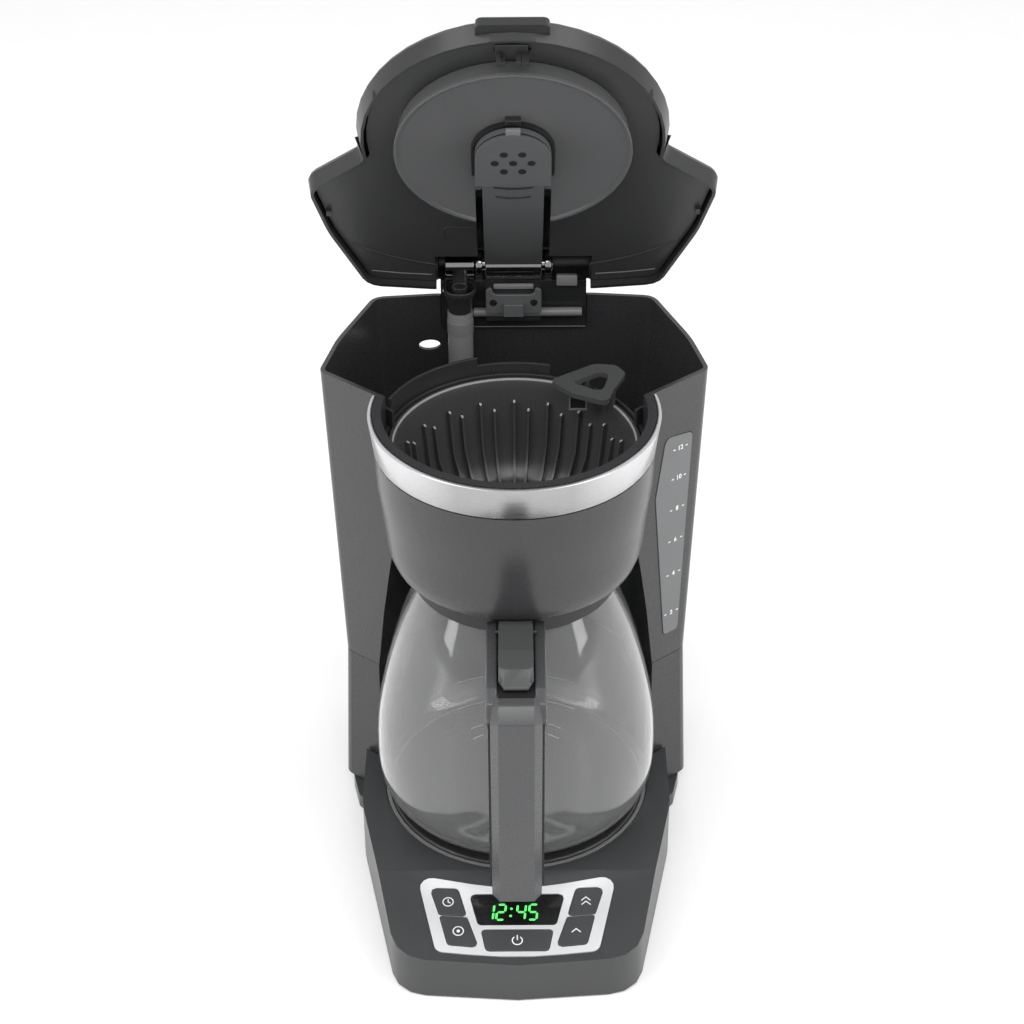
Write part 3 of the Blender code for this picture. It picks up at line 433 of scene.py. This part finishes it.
def layered(levels):
    """A filler through outlines of (y, z), one at each x."""
    def fill(work):
        rings = [[work.verts.new((x, y, z)) for y, z in outline] for x, outline in levels]
        for first, second in zip(rings, rings[1:]):
            for i in range(len(first)):
                j = (i + 1) % len(first)
                work.faces.new([first[i], first[j], second[j], second[i]])
        work.faces.new(rings[0])
        work.faces.new(list(reversed(rings[-1])))
    return fill


def several(*fills):
    """A filler for a few shapes that make one piece."""
    def fill(work):
        for one in fills:
            one(work)
    return fill


SIDE = Matrix(((0, 0, 1, 0), (1, 0, 0, 0), (0, 1, 0, 0), (0, 0, 0, 1)))  # for outlines of (y, z)
FRONT = Matrix(((1, 0, 0, 0), (0, 0, -1, 0), (0, 1, 0, 0), (0, 0, 0, 1)))  # for outlines of (x, z)

PANEL_SLOPE = math.radians(10.0)
PANEL = Matrix.Translation((0, -104.0, 31.2)) @ Matrix.Rotation(PANEL_SLOPE, 4, "X")


# ---------------------------------------------------------------- casing

def casing():
    refine("base_housing", DECK, 0.9, 3)
    refine("lower_housing", CASING, 0.5)
    refine("upper_housing", CASING, 0.5)
    refine("bottom_cover", INNER, 0.4)
    for node in frame["nodes"]:
        if node.startswith("foot_"):
            refine(node, RUBBER, 0.4)
        elif node.startswith("base_screw_"):
            repaint(node, STEEL)
    repaint("control_board", BOARD)
    repaint("thermostat", STEEL)
    repaint("thermal_fuse", MILKY)
    repaint("heating_element", STEEL)
    for node in ("inlet_hose", "outlet_hose"):
        repaint(node, MILKY)
    repaint("check_valve", INNER)
    refine("cord_inlet", RUBBER, 0.5)
    refine("plate_seal", PALE, 0.2)
    refine("warming_plate", COATING, 0.3)


def band():
    """The silver band with a small rolled edge above and below. It is open where the head meets the tank."""
    low, high = box_mm("trim_band")
    top_r, foot_r, thick = high.x, high.x - 2.4, 2.0
    profile = [(top_r - thick, high.z), (top_r - 0.5, high.z), (top_r, high.z - 0.5),
               (foot_r + 0.1, low.z + 0.6), (foot_r - 0.4, low.z), (foot_r - thick, low.z)]
    round_head = swept(profile, -192.2, 12.2, 160)
    emit("trim_band_fine", round_head, BAND, stands_for=["trim_band"], slot="silver_trim", sharp=50.0)


# ---------------------------------------------------------------- water window

WINDOW_SLANT = math.radians(39.1)
WALL_FOOT, WALL_RISE, WALL_LEAN = 100.0, 179.9, 6.2  # the tank's wall leans in towards its foot
NUMERAL_SIZE = 3.9
NUMERAL_THICK = 0.15
NUMERAL_DRIFT = 0.0325  # how far the row moves across for each millimetre down
NUMERALS = {"12": 238.9, "10": 220.3, "8": 200.3, "6": 179.7, "4": 157.1, "2": 130.3}


def lettering(text, size, low, high, place):
    """A filler for a numeral, centred on its place."""
    def fill(work):
        curve = bpy.data.curves.new("numeral", "FONT")
        curve.body = text
        curve.size = size
        curve.align_x = "CENTER"
        curve.align_y = "CENTER"
        curve.extrude = (high - low) / 2
        curve.offset = 0.06
        curve.resolution_u = 4
        mesh = curve_mesh(curve, place @ Matrix.Translation((0, 0, (low + high) / 2)))
        work.from_mesh(mesh)
        bmesh.ops.remove_doubles(work, verts=work.verts, dist=0.0005)
        bpy.data.meshes.remove(mesh)
    return fill


def window():
    """The smoked window, and the numerals on it with a dash on either side."""
    refine("water_window", SMOKED, 0.35, 3)
    along = Vector((math.cos(WINDOW_SLANT), math.sin(WINDOW_SLANT), 0))
    out = Vector((math.sin(WINDOW_SLANT), -math.cos(WINDOW_SLANT), 0))
    face = Matrix((along, Vector((0, 0, 1)), out)).transposed().to_4x4()
    proud = 0.5
    for text, height in NUMERALS.items():
        lean = -WALL_LEAN * (1 - (height - WALL_FOOT) / WALL_RISE)
        across = 1.6 + (NUMERALS["12"] - height) * NUMERAL_DRIFT
        middle = Vector((86.5 + lean, 16.5 + 13.5 * math.tan(WINDOW_SLANT), height)) + along * across
        place = Matrix.Translation(middle) @ face
        dashes = [stroke([(x - 0.75, 0.0), (x + 0.75, 0.0)], 0.55) for x in (-4.3, 4.3)]
        fills = [lettering(text, NUMERAL_SIZE, proud, proud + NUMERAL_THICK, place)]
        fills += [prism([dash], proud, proud + NUMERAL_THICK, place) for dash in dashes]
        emit("level_" + text, several(*fills), MARKING, slot="button_grey")


# ---------------------------------------------------------------- control panel

SCREEN_TOP = 0.2
BUTTON_TOP = 0.8
PRINT_THICK = 0.12
DIGIT_WIDTH = 4.3
DIGIT_HEIGHT = 9.6
DIGIT_FOOT = -1.8
DIGIT_MIDDLE = DIGIT_FOOT + DIGIT_HEIGHT / 2
DIGIT_LEAN = 0.10
DIGIT_GAP = 0.35  # left free at each end of a stroke
DIGIT_LINE = 1.15
STROKES_OF = {"1": "bc", "2": "abged", "4": "fgbc", "5": "afgcd"}


def digit_fills(text, left):
    """Seven-segment strokes for one digit, leaning a little to the right."""
    right = left + DIGIT_WIDTH
    low, middle, top = DIGIT_FOOT, DIGIT_MIDDLE, DIGIT_FOOT + DIGIT_HEIGHT
    ends = {
        "a": ((left, top), (right, top)),
        "b": ((right, top), (right, middle)),
        "c": ((right, middle), (right, low)),
        "d": ((left, low), (right, low)),
        "e": ((left, middle), (left, low)),
        "f": ((left, top), (left, middle)),
        "g": ((left, middle), (right, middle)),
    }
    fills = []
    for name in STROKES_OF[text]:
        start, end = (Vector(point) for point in ends[name])
        along = (end - start).normalized()
        start, end = start + along * DIGIT_GAP, end - along * DIGIT_GAP
        across = Vector((-along.y, along.x)) * DIGIT_LINE / 2
        tip = along * DIGIT_LINE / 2
        corners = [start, start + tip + across, end - tip + across,
                   end, end - tip - across, start + tip - across]
        outline = [(point.x + DIGIT_LEAN * (point.y - middle), point.y) for point in corners]
        fills.append(prism([outline], SCREEN_TOP, SCREEN_TOP + PRINT_THICK, PANEL))
    return fills


def clock_display():
    refine("display_module", LENS, 0.25, 2)
    fills = []
    for text, left in (("1", -16.7), ("2", -10.6), ("4", 0.0), ("5", 6.3)):
        fills += digit_fills(text, left)
    for height in (0.6, 5.2):
        dot = circle((-3.2 + DIGIT_LEAN * (height - DIGIT_MIDDLE), height), 0.7, 20)
        fills.append(prism([dot], SCREEN_TOP, SCREEN_TOP + PRINT_THICK, PANEL))
    emit("clock_digits", several(*fills), DIGIT, slot="display")


def ring(centre, radius, width):
    """The outer and inner outlines of a flat ring."""
    return [circle(centre, radius + width / 2, 40), circle(centre, radius - width / 2, 40)[::-1]]


def button_marks():
    """Plain symbols: a clock face, a ring with a dot, chevrons and a power sign."""
    line = 0.55

    def chevron(x, v):
        return [stroke([(x - 2.4, v - 1.1), (x, v + 1.1), (x + 2.4, v - 1.1)], line)]

    hands = stroke([(-36.4, 11.1), (-36.4, 9.3), (-35.1, 8.6)], line)
    open_ring = stroke(arc((0, -15.3), 2.6, 125, 415, 36), line)
    upright = stroke([(0, -15.0), (0, -11.9)], line)
    marks = {
        "program_button": [ring((-36.4, 9.4), 2.7, line), [hands]],
        "auto_button": [ring((-30.8, -9.2), 2.7, line), [circle((-30.8, -9.2), 0.9, 20)]],
        "hour_button": [chevron(36.4, 8.3), chevron(36.4, 11.0)],
        "minute_button": [chevron(30.8, -9.2)],
        "power_button": [[open_ring], [upright]],
    }
    for button, shapes in marks.items():
        refine(button, BUTTON, 0.5, 3)
        fills = [prism(shape, BUTTON_TOP, BUTTON_TOP + PRINT_THICK, PANEL) for shape in shapes]
        emit(button + "_mark", several(*fills), MARKING, body=BODY_OF[button], slot="button_grey")


def panel():
    refine("control_bezel", BEZEL, 0.35, 3)
    clock_display()
    button_marks()


# ---------------------------------------------------------------- brewing

def spoke(degrees):
    """A frame for outlines of (radius, height) that stand along a radius."""
    cos, sin = math.cos(math.radians(degrees)), math.sin(math.radians(degrees))
    return Matrix(((cos, 0, sin, 0), (sin, 0, -cos, 0), (0, 1, 0, 0), (0, 0, 0, 1)))


def basket():
    """The ribbed basket, its rim and rib tips with a painted highlight, and the grip on two posts with a clip
    below it.
    """
    low, high = box_mm("filter_basket")
    floor, rim_r = low.z, high.x
    inside = floor + 1.6
    lip = [(rim_r - 0.2, 259.0), (rim_r, 260.2), (rim_r - 0.5, 260.9),
           (rim_r - 2.2, 261.1), (rim_r - 3.2, 260.5)]
    inner = [(60.7, 259.0), (58.9, 243.0), (56.8, 225.5), (53.6, 215.5),
             (49.2, 209.2), (46.8, 207.0), (43.8, inside)]
    outer = [(5.0, floor), (44.5, floor), (50.6, 208.0), (55.2, 216.0),
             (58.4, 225.0), (60.6, 243.0), (62.2, 258.4)]
    profile = outer + lip + flowing(inner, 3) + [(5.0, inside)]
    fills, tips = [lathe(profile)], []
    for k in range(40):
        tall = k % 2 == 0
        top = 249.0 if tall else 244.0
        degrees = 90 + 9 * k + (0 if tall else 1.5)
        outline = [(44.0, 206.2), (49.5, 209.3), (57.1, 225.6), (59.6, top), (58.3, top + 0.9), (57.0, top),
                   (54.4, 225.8), (47.4, 212.0), (40.5, 207.4), (37.0, 206.1)]
        fills.append(prism([outline], -0.6, 0.6, spoke(degrees)))
        tip = [(58.9, top + 0.2), (58.4, top + 1.1), (57.0, top + 0.3), (57.2, top - 0.6)]
        tips.append(prism([tip], -0.55, 0.55, spoke(degrees)))
    ribbed = several(*fills)
    emit("filter_basket_ribbed", ribbed, BASKET, "basket", ["filter_basket"], "inner_black", sharp=40.0)
    emit("rib_tip_highlights", several(*tips), RIM_HIGHLIGHT, "basket", slot="inner_black")
    # A thin light ring on the rim, a painted highlight.
    edge = [(61.3, 260.6), (61.5, 261.35), (62.2, 261.35), (62.5, 260.6)]
    emit("basket_rim", lathe(edge), RIM_HIGHLIGHT, "basket", slot="inner_black", sharp=60.0)
    loop = rounded([(18.5, 43.3, 3.0), (29.8, 30.0, 5.0), (48.0, 20.9, 4.0), (51.2, 32.8, 5.0),
                    (58.5, 50.0, 5.0), (53.7, 58.4, 5.0), (42.2, 60.0, 9.0)], 10)
    hole = rounded([(30.0, 41.1, 2.0), (45.2, 30.9, 3.5), (50.0, 50.0, 4.0), (44.3, 51.0, 5.0)], 10)
    grip = prism([loop, hole], 268.4, 271.2)
    emit("basket_grip", grip, BASKET_LIGHT, "basket", slot="inner_black", bevel=0.7)
    posts = []
    for degrees in (52.5, 35.0):
        x, y = 61.6 * math.cos(math.radians(degrees)), 61.6 * math.sin(math.radians(degrees))
        posts.append(bar((x, y, 255.0), (x, y, 269.0), 2.0))
    emit("grip_posts", several(*posts), BASKET, "basket", slot="inner_black")
    clip = several(block((28.4, 36.0, 257.0), (37.9, 37.0, 258.1)),
                   block((28.4, 36.0, 258.1), (29.3, 37.0, 264.4)),
                   block((37.0, 36.0, 258.1), (37.9, 37.0, 264.4)))
    emit("grip_clip", clip, PALE, "basket", slot="inner_black", bevel=0.15)
    # A dark block in the clip's opening, painted shade.
    shade = block((29.3, 36.6, 258.1), (37.0, 38.0, 264.8))
    emit("grip_socket_shade", shade, INNER, "basket", slot="inner_black", bevel=0.2)
    bumps = [bar((x, -57.0, 260.6), (x, -57.0, 261.9), 1.2, 1.0) for x in (-28.2, 28.2)]
    emit("rim_bumps", several(*bumps), PALE, "basket", slot="inner_black")


def chamber():
    """The partition round the basket, with the webs, ledges and pegs that stand beside it."""
    refine("brew_chamber", CHAMBER, 0.35)
    for side in (-1, 1):
        tag = "left" if side < 0 else "right"
        web = stroke([(side * 70.4, 20.2), (side * 61.6, 11.6)], 1.6)
        emit("side_web_" + tag, prism([web], 262.6, 272.2), CHAMBER, slot="inner_black", bevel=0.25)
        peg = bar((side * 70.4, -2.5, 270.8), (side * 66.4, -2.5, 270.8), 2.0)
        emit("lid_peg_" + tag, peg, PALE, slot="inner_black", bevel=0.5, segments=3)
        ledge = [(side * x, y) for x, y in rounded([(64.9, -12.0, 3.0), (71.0, -10.0, 0.5), (71.4, 6.0, 0.5),
                                                    (65.3, 5.0, 3.0)])]
        emit("ledge_" + tag, prism([ledge], 261.4, 264.6), CHAMBER, slot="inner_black", bevel=0.8, segments=3)
        dot = bar((side * 67.6, -5.6, 264.4), (side * 67.6, -5.6, 265.0), 1.5)
        emit("ledge_dot_" + tag, dot, PALE, slot="inner_black")
        dimple = bar((side * 11.0, 67.2, 263.5), (side * 11.0, 66.2, 263.5), 1.4)
        emit("partition_dimple_" + tag, dimple, GLOSS, slot="inner_black")


def water_path():
    """The milky tube that brings the water up, and the neck that takes it to the hinge."""
    centre_x, centre_y = RISER
    tube = lathe([(5.4, 69.7), (6.9, 69.7), (6.9, 275.0), (5.4, 275.0)], 64, RISER)
    emit("riser_tube_fine", tube, MILKY, stands_for=["riser_tube"], slot="silicone")
    joint = lathe([(6.9, 262.0), (7.2, 262.2), (7.2, 269.6), (6.9, 269.8)], 64, RISER)
    emit("riser_ring", joint, MILKY_DARK, slot="silicone")
    refine("riser_collar", GLOSS, 0.2)
    upright = bar((centre_x, centre_y, 285.2), (centre_x, centre_y, 290.4), 4.4, segments=48)
    hinge_end = (centre_x, HINGE.y - 1.6, HINGE.z - 1.6)
    slanting = bar((centre_x, centre_y + 0.6, 288.6), hinge_end, 4.2, segments=48)
    neck = several(upright, slanting)
    emit("water_elbow_neck", neck, GLOSS, "root", ["water_elbow"], "inner_black", bevel=0.4, segments=3)


# ---------------------------------------------------------------- lid and hinge

def lid_shell():
    refine("lid_shell", LID_PLASTIC, 0.5, 3)
    refine("lid_liner", LID_INNER, 0.3)
    refine("lid_disc", DISC, 0.25)
    refine("lid_latch", INNER, 0.3)


def lid_details():
    """Ribs, lugs and lines on the lid's underside, written with the lid closed. The light lines are painted
    highlights along a ridge.
    """
    face = 284.0
    ridges, lines = [], []
    for side in (-1, 1):
        bend = [(side * x, y) for x, y in ((84.8, 87.1), (70.0, 96.6), (55.0, 103.0), (41.5, 107.0))]
        ridges.append(wire([(x, y, face) for x, y in flowing(bend)], 0.55))
        # Light grey lines, painted highlights of a ridge.
        edge = [(side * x, y, face) for x, y in ((75.9, 112.0), (60.0, 114.6), (44.0, 116.1))]
        lines.append(wire(edge, 0.4))
        ridges.append(block((side * 95.0 - 1.2, 56.6, 281.6), (side * 95.0 + 1.2, 60.6, face)))
        ridges.append(block((side * 66.0 - 1.0, -36.0, 280.4), (side * 66.0 + 1.0, -32.0, face)))
    frame_points = [(-19.8, 74.0), (-34.6, 74.0), (-36.0, 75.6), (-36.0, 84.0)]
    ridges.append(wire([(x, y, face) for x, y in frame_points], 0.35))
    emit("lid_ribs", several(*ridges), LID_PLASTIC, "lid", slot="casing", lid=True)
    emit("lid_highlight_lines", several(*lines), RIDGE_HIGHLIGHT, "lid", slot="casing", lid=True)
    catch = several(block((-8.3, -71.6, 280.6), (7.2, -64.4, 283.8)),
                    block((-6.2, -66.0, 274.9), (-3.6, -63.6, 281.0)),
                    block((1.4, -66.0, 274.9), (4.0, -63.6, 281.0)))
    emit("latch_guide", catch, INNER, "lid", slot="inner_black", lid=True, bevel=0.35)


ARM_START = 17.0  # the spray head is flat in front of this y, and the arm slopes up behind it
HEAD_FACE = 270.2
ARM_FACE, ARM_RISE, ARM_RUN = 269.4, 6.2, 43.0


def on_hinge(start, end, radius):
    """A filler for a sleeve on the lid's axis, from one x to another."""
    return bar((start, HINGE.y, HINGE.z), (end, HINGE.y, HINGE.z), radius, segments=64)


def sprayer():
    """The arm on the lid's inside, with its slots and groove, spray holes and a clip."""
    refine("spray_arm", ARM, 0.6, 3)
    refine("spray_head", ARM, 0.3)
    slots = []
    for half, y in ((10.3, 12.2), (9.7, 22.0), (8.8, 31.1)):
        on_head = y < ARM_START
        face = HEAD_FACE if on_head else ARM_FACE + (y - ARM_START) * ARM_RISE / ARM_RUN
        drop = -0.5 if on_head else -0.14
        across = [half * k / 6 for k in range(-6, 7)]
        curve = [(x, y + 1.4 * (1 - (x / half) ** 2), face + drop + 0.45) for x in across]
        slots.append(wire(curve, 0.75, 10))
    # The slots are dark bars of painted shade.
    emit("arm_slots", several(*slots), SHADE_BLACK, "lid", slot="inner_black", lid=True)
    turns = [math.pi * k / 3 for k in range(6)]
    holes = [(0, 0)] + [(9.0 * math.cos(turn), 7.6 * math.sin(turn)) for turn in turns]
    # Dark discs over the spray holes, painted shade in them.
    discs = [bar((x, y - 1, 266.9), (x, y - 1, 267.3), 2.0) for x, y in holes]
    emit("spray_holes", several(*discs), SHADE_BLACK, "lid", slot="inner_black", lid=True)
    # The groove round the head is filled with painted shade.
    outer = arc((0, -2.2), 20.6, 180, 360, 48) + [(20.6, 17.0), (19.2, 17.0)]
    inner = arc((0, -2.2), 19.2, 360, 180, 48) + [(-19.2, 17.0), (-20.6, 17.0)]
    groove = prism([outer + inner], 273.4, 276.6)
    emit("head_groove", groove, SHADE_BLACK, "lid", slot="inner_black", lid=True)
    clip = block((-3.6, -24.4, 268.2), (3.6, -20.0, 270.2))
    emit("head_clip", clip, PALE, "lid", slot="inner_black", lid=True, bevel=0.4)
    seat = block((-3.8, -26.6, 272.4), (3.8, -23.0, 275.8))
    emit("head_clip_seat", seat, INNER, "lid", slot="inner_black", lid=True, bevel=0.3)
    sleeve = on_hinge(-14.9, 14.9, 6.9)
    emit("barrel_sleeve", sleeve, BARREL, "lid", slot="inner_black", lid=True, bevel=0.4)


def hinge():
    """The bracket and tube at the rear wall, with their sleeves and covers."""
    refine("hinge_bracket", INNER_GLOSS, 0.5, 3)
    refine("hinge_rod", PALE, 0.4)
    refine("hinge_stop", PALE, 0.3)
    refine("hinge_clip", PALE, 0.3)
    refine("swivel_tube", BARREL, 0.3)
    for side in ("left", "right"):
        refine("bracket_screw_" + side, STEEL, 0.4, 3)
    sleeves = several(on_hinge(-37.0, -21.3, 6.2), on_hinge(17.2, 20.6, 6.9), on_hinge(-20.2, -17.0, 6.9))
    emit("tube_sleeves", sleeves, BARREL, slot="inner_black", bevel=0.5, segments=3)
    cover = rounded([(-15.1, 273.5, 1.5), (15.1, 273.5, 1.5), (15.1, 288.6, 2.5), (12.0, 289.4, 1.0),
                     (11.0, 285.2, 2.5), (-11.0, 285.2, 2.5), (-12.0, 289.4, 1.0), (-15.1, 288.6, 2.5)])
    plate = prism([cover], -111.9, -109.9, FRONT)
    emit("bracket_cover", plate, ARM, slot="inner_black", bevel=0.6, segments=3)
    backing = block((-43.0, 122.15, 260.4), (43.0, 122.7, 279.4))
    emit("hinge_backing", backing, INNER, slot="inner_black")
    tongue = block((-5.4, 107.6, 272.6), (5.4, 110.2, 280.2))
    emit("bracket_tongue", tongue, ARM, slot="inner_black", bevel=0.5)
    # A thin light line across the bracket, a painted highlight.
    line = wire([(-22.0, 117.1, 261.7), (39.4, 117.1, 261.7)], 0.3)
    emit("bracket_highlight_line", line, RIDGE_HIGHLIGHT, slot="inner_black")


# ---------------------------------------------------------------- carafe

GLASS_OUTLINE = (  # radius and height of the outer face, from the floor up
    (60.0, 38.2), (65.8, 40.0), (70.6, 44.0), (74.2, 50.5), (76.0, 59.0), (76.5, 70.5), (75.9, 85.0),
    (73.9, 100.0), (69.2, 122.5), (63.0, 145.5), (56.8, 163.0), (52.0, 175.0), (50.2, 180.5), (50.4, 186.2))
GLASS_WALL = 1.9


def jug():
    """The glass with an even wall, its collar painted near black as shade under the head, and a few faint grey
    arcs low at the rear that are painted refraction highlights.
    """
    outer = [Vector(point) for point in flowing(GLASS_OUTLINE, 6)]
    inner = []
    for i, point in enumerate(outer):
        along = outer[min(i + 1, len(outer) - 1)] - outer[max(i - 1, 0)]
        inward = Vector((-along.y, along.x)).normalized()
        inner.append(point + inward * GLASS_WALL)
    lip = [(49.6, 186.8), (48.9, 186.8)]
    floor = [(52.0, 40.9), (26.0, 41.6), (0.0, 42.0)]
    foot = [(0.0, 39.6), (30.0, 39.2), (52.0, 38.6), (56.5, 38.2)]
    profile = foot + [tuple(v) for v in outer] + lip + [tuple(v) for v in reversed(inner[3:])] + floor
    glass = lathe(profile, 160)
    emit("carafe_glass_fine", glass, GLASS, "carafe", ["carafe_glass"], "clear_glass", sharp=60.0)
    # The collar is painted near black, as shade in the gap under the head.
    refine("carafe_collar", SHADE_BLACK, 0.5, 3)
    # Thin grey arcs on the glass, painted refraction highlights.
    marks = []
    arcs = ((73.0, 54.5, 19.0, 34.0), (64.6, 42.7, 19.0, 34.0),
            (46.8, 41.35, 19.0, 26.0), (38.4, 41.55, 18.8, 24.5))
    for radius, height, near, far in arcs:
        profile = [(radius - 0.3, height - 0.1), (radius + 0.2, height - 0.1), (radius + 0.2, height + 0.2),
                   (radius - 0.3, height + 0.2)]
        start, end = (math.degrees(math.asin(x / radius)) for x in (near, far))
        marks += [swept(profile, 90 + start, 90 + end, 16), swept(profile, 90 - end, 90 - start, 16)]
    emit("jug_painted_glints", several(*marks), GLINT_GREY, "carafe", slot="clear_glass")


def handle():
    """A bar with a flat front and slanting edges, and two cheeks beside the thumb lever."""
    repaint("handle_screw", STEEL)
    repaint("carafe_pin", INNER)
    rear = [(-112.0, 160.0, 8.0), (-103.0, 175.0, 8.0), (-80.0, 179.0, 10.0)]
    middle = rounded([(-54.6, 181.0, 0), (-54.6, 188.4, 0), (-84.0, 188.4, 1.0), (-88.0, 186.0, 1.0),
                      (-109.0, 186.0, 2.0), (-118.5, 185.2, 2.0), (-125.2, 178.0, 2.0), (-123.8, 110.0, 60.0),
                      (-120.0, 57.5, 1.5), (-117.0, 55.6, 1.0), (-108.0, 57.0, 2.0), (-106.4, 62.0, 2.0),
                      (-110.5, 110.0, 60.0)] + rear)
    edge = rounded([(-54.6, 181.0, 0), (-54.6, 186.4, 0), (-84.0, 186.4, 1.0), (-88.0, 184.0, 1.0),
                    (-106.0, 184.0, 2.0), (-114.5, 182.6, 2.0), (-120.8, 175.0, 2.0), (-119.4, 110.0, 60.0),
                    (-116.2, 59.5, 1.5), (-114.5, 57.6, 1.0), (-109.4, 58.4, 2.0), (-107.6, 62.6, 2.0),
                    (-110.5, 110.0, 60.0)] + rear)
    bar_fill = layered([(-12.7, edge), (-8.8, middle), (8.8, middle), (12.7, edge)])
    emit("carafe_handle_bar", bar_fill, HANDLE, "carafe", ["carafe_handle"], "casing", sharp=25.0, bevel=0.4)
    strip = rounded([(-112.0, 176.0, 1.0), (-116.6, 172.0, 2.0), (-115.6, 110.0, 0), (-113.2, 62.0, 2.0),
                     (-109.6, 62.0, 1.0), (-110.6, 110.0, 0), (-112.0, 160.0, 0)])
    # Near black strips on the handle's sides, painted shade.
    strips = several(prism([strip], -13.9, -12.5, SIDE), prism([strip], 12.5, 13.9, SIDE))
    emit("handle_strips", strips, SHADE_BLACK, "carafe", slot="casing")
    # A near black block under the rear of the lever, painted shade.
    dark_top = block((-9.0, -113.2, 184.4), (9.0, -86.0, 186.2))
    emit("handle_slot", dark_top, SHADE_BLACK, "carafe", slot="casing")
    side = rounded([(-56.0, 179.6, 1.0), (-56.0, 189.6, 1.0), (-84.0, 190.0, 3.0), (-108.0, 187.6, 3.0),
                    (-115.5, 183.5, 4.0), (-119.0, 176.0, 4.0), (-113.0, 166.0, 6.0), (-96.0, 170.0, 8.0)])
    for tag, low, high in (("left", -14.9, -9.2), ("right", 9.2, 14.9)):
        cheek = prism([side], low, high, SIDE)
        emit("handle_cheek_" + tag, cheek, HANDLE, "carafe", slot="casing",
             bevel=2.0, segments=4, bevel_angle=40.0)


def jug_cover():
    """The carafe's cover and the lever that opens it, whose front edge is drawn back at both sides."""
    refine("carafe_lid", JUG_COVER, 0.5, 3)
    top = [(-60.0, 191.2, 0.5), (-60.0, 192.8, 0.4), (-67.0, 195.6, 2.0), (-88.0, 195.6, 3.0)]
    under = [(-98.0, 189.4, 2.0), (-88.0, 191.0, 3.0)]
    middle = rounded(top + [(-101.0, 193.8, 2.0), (-110.8, 188.4, 1.2), (-109.4, 187.2, 0.6)] + under)
    edge = rounded(top + [(-99.0, 193.4, 2.0), (-105.6, 189.8, 1.2), (-104.8, 188.6, 0.6)] + under)
    lever = layered([(-8.6, edge), (-5.9, middle), (5.9, middle), (8.6, edge)])
    emit("thumb_lever", lever, JUG_COVER, "carafe_cover", slot="inner_black", sharp=25.0, bevel=0.4)


# ---------------------------------------------------------------- scene

def light(name, place, target, size, power, size_y=None):
    """An area light in metres and watts, turned to its target."""
    data = bpy.data.lights.new(name, "AREA")
    data.energy = power
    data.size = size
    if size_y:
        data.shape = "RECTANGLE"
        data.size_y = size_y
    made = bpy.data.objects.new(name, data)
    made.location = place
    made.rotation_euler = (Vector(target) - Vector(place)).to_track_quat("-Z", "Y").to_euler()
    bpy.context.scene.collection.objects.link(made)


def studio():
    """A pale world and floor, with soft lights above, beside and in front."""
    scene = bpy.context.scene
    world = bpy.data.worlds.new("pale_studio")
    world.use_nodes = True
    world.node_tree.nodes["Background"].inputs["Color"].default_value = (1.0, 1.0, 1.0, 1.0)
    world.node_tree.nodes["Background"].inputs["Strength"].default_value = 0.82
    scene.world = world
    scene.view_settings.view_transform = "Standard"
    mesh = bpy.data.meshes.new("floor")
    work = bmesh.new()
    bmesh.ops.create_grid(work, x_segments=1, y_segments=1, size=6.0)
    work.to_mesh(mesh)
    work.free()
    mesh.materials.append(FLOOR)
    floor = bpy.data.objects.new("floor", mesh)
    scene.collection.objects.link(floor)
    centre = (0, 0, 0.22)
    light("left_softbox", (-0.75, -0.35, 1.45), centre, 0.75, 5.0)
    light("right_softbox", (0.75, -0.35, 1.45), centre, 0.75, 5.0)
    light("left_strip", (-1.3, -0.5, 0.7), centre, 0.35, 6.0, 1.3)
    light("right_strip", (1.3, -0.5, 0.7), centre, 0.35, 6.0, 1.3)
    light("left_front", (-1.3, -1.3, 0.6), centre, 1.2, 0.8, 0.35)
    light("right_front", (1.3, -1.3, 0.6), centre, 1.2, 0.8, 0.35)
    light("front_overhead", (0.0, -1.05, 1.45), centre, 0.9, 5.0, 0.35)


CAMERA_PLACE = Vector((-0.0015, -0.9643, 0.8692))  # metres from the foot of the brewing axis
CAMERA_DIP = 34.04  # degrees below the level
CAMERA_ROLL = -0.324
CAMERA_LENS = 79.1


def camera():
    data = bpy.data.cameras.new("camera")
    data.sensor_width = 36.0
    data.lens = CAMERA_LENS
    made = bpy.data.objects.new("camera", data)
    made.matrix_world = (Matrix.Translation(CAMERA_PLACE + AXIS)
                         @ Matrix.Rotation(math.radians(90 - CAMERA_DIP), 4, "X")
                         @ Matrix.Rotation(math.radians(CAMERA_ROLL), 4, "Z"))
    bpy.context.scene.collection.objects.link(made)
    bpy.context.scene.camera = made


casing()
band()
window()
panel()
basket()
chamber()
water_path()
lid_shell()
lid_details()
sprayer()
hinge()
jug()
handle()
jug_cover()
studio()
camera()
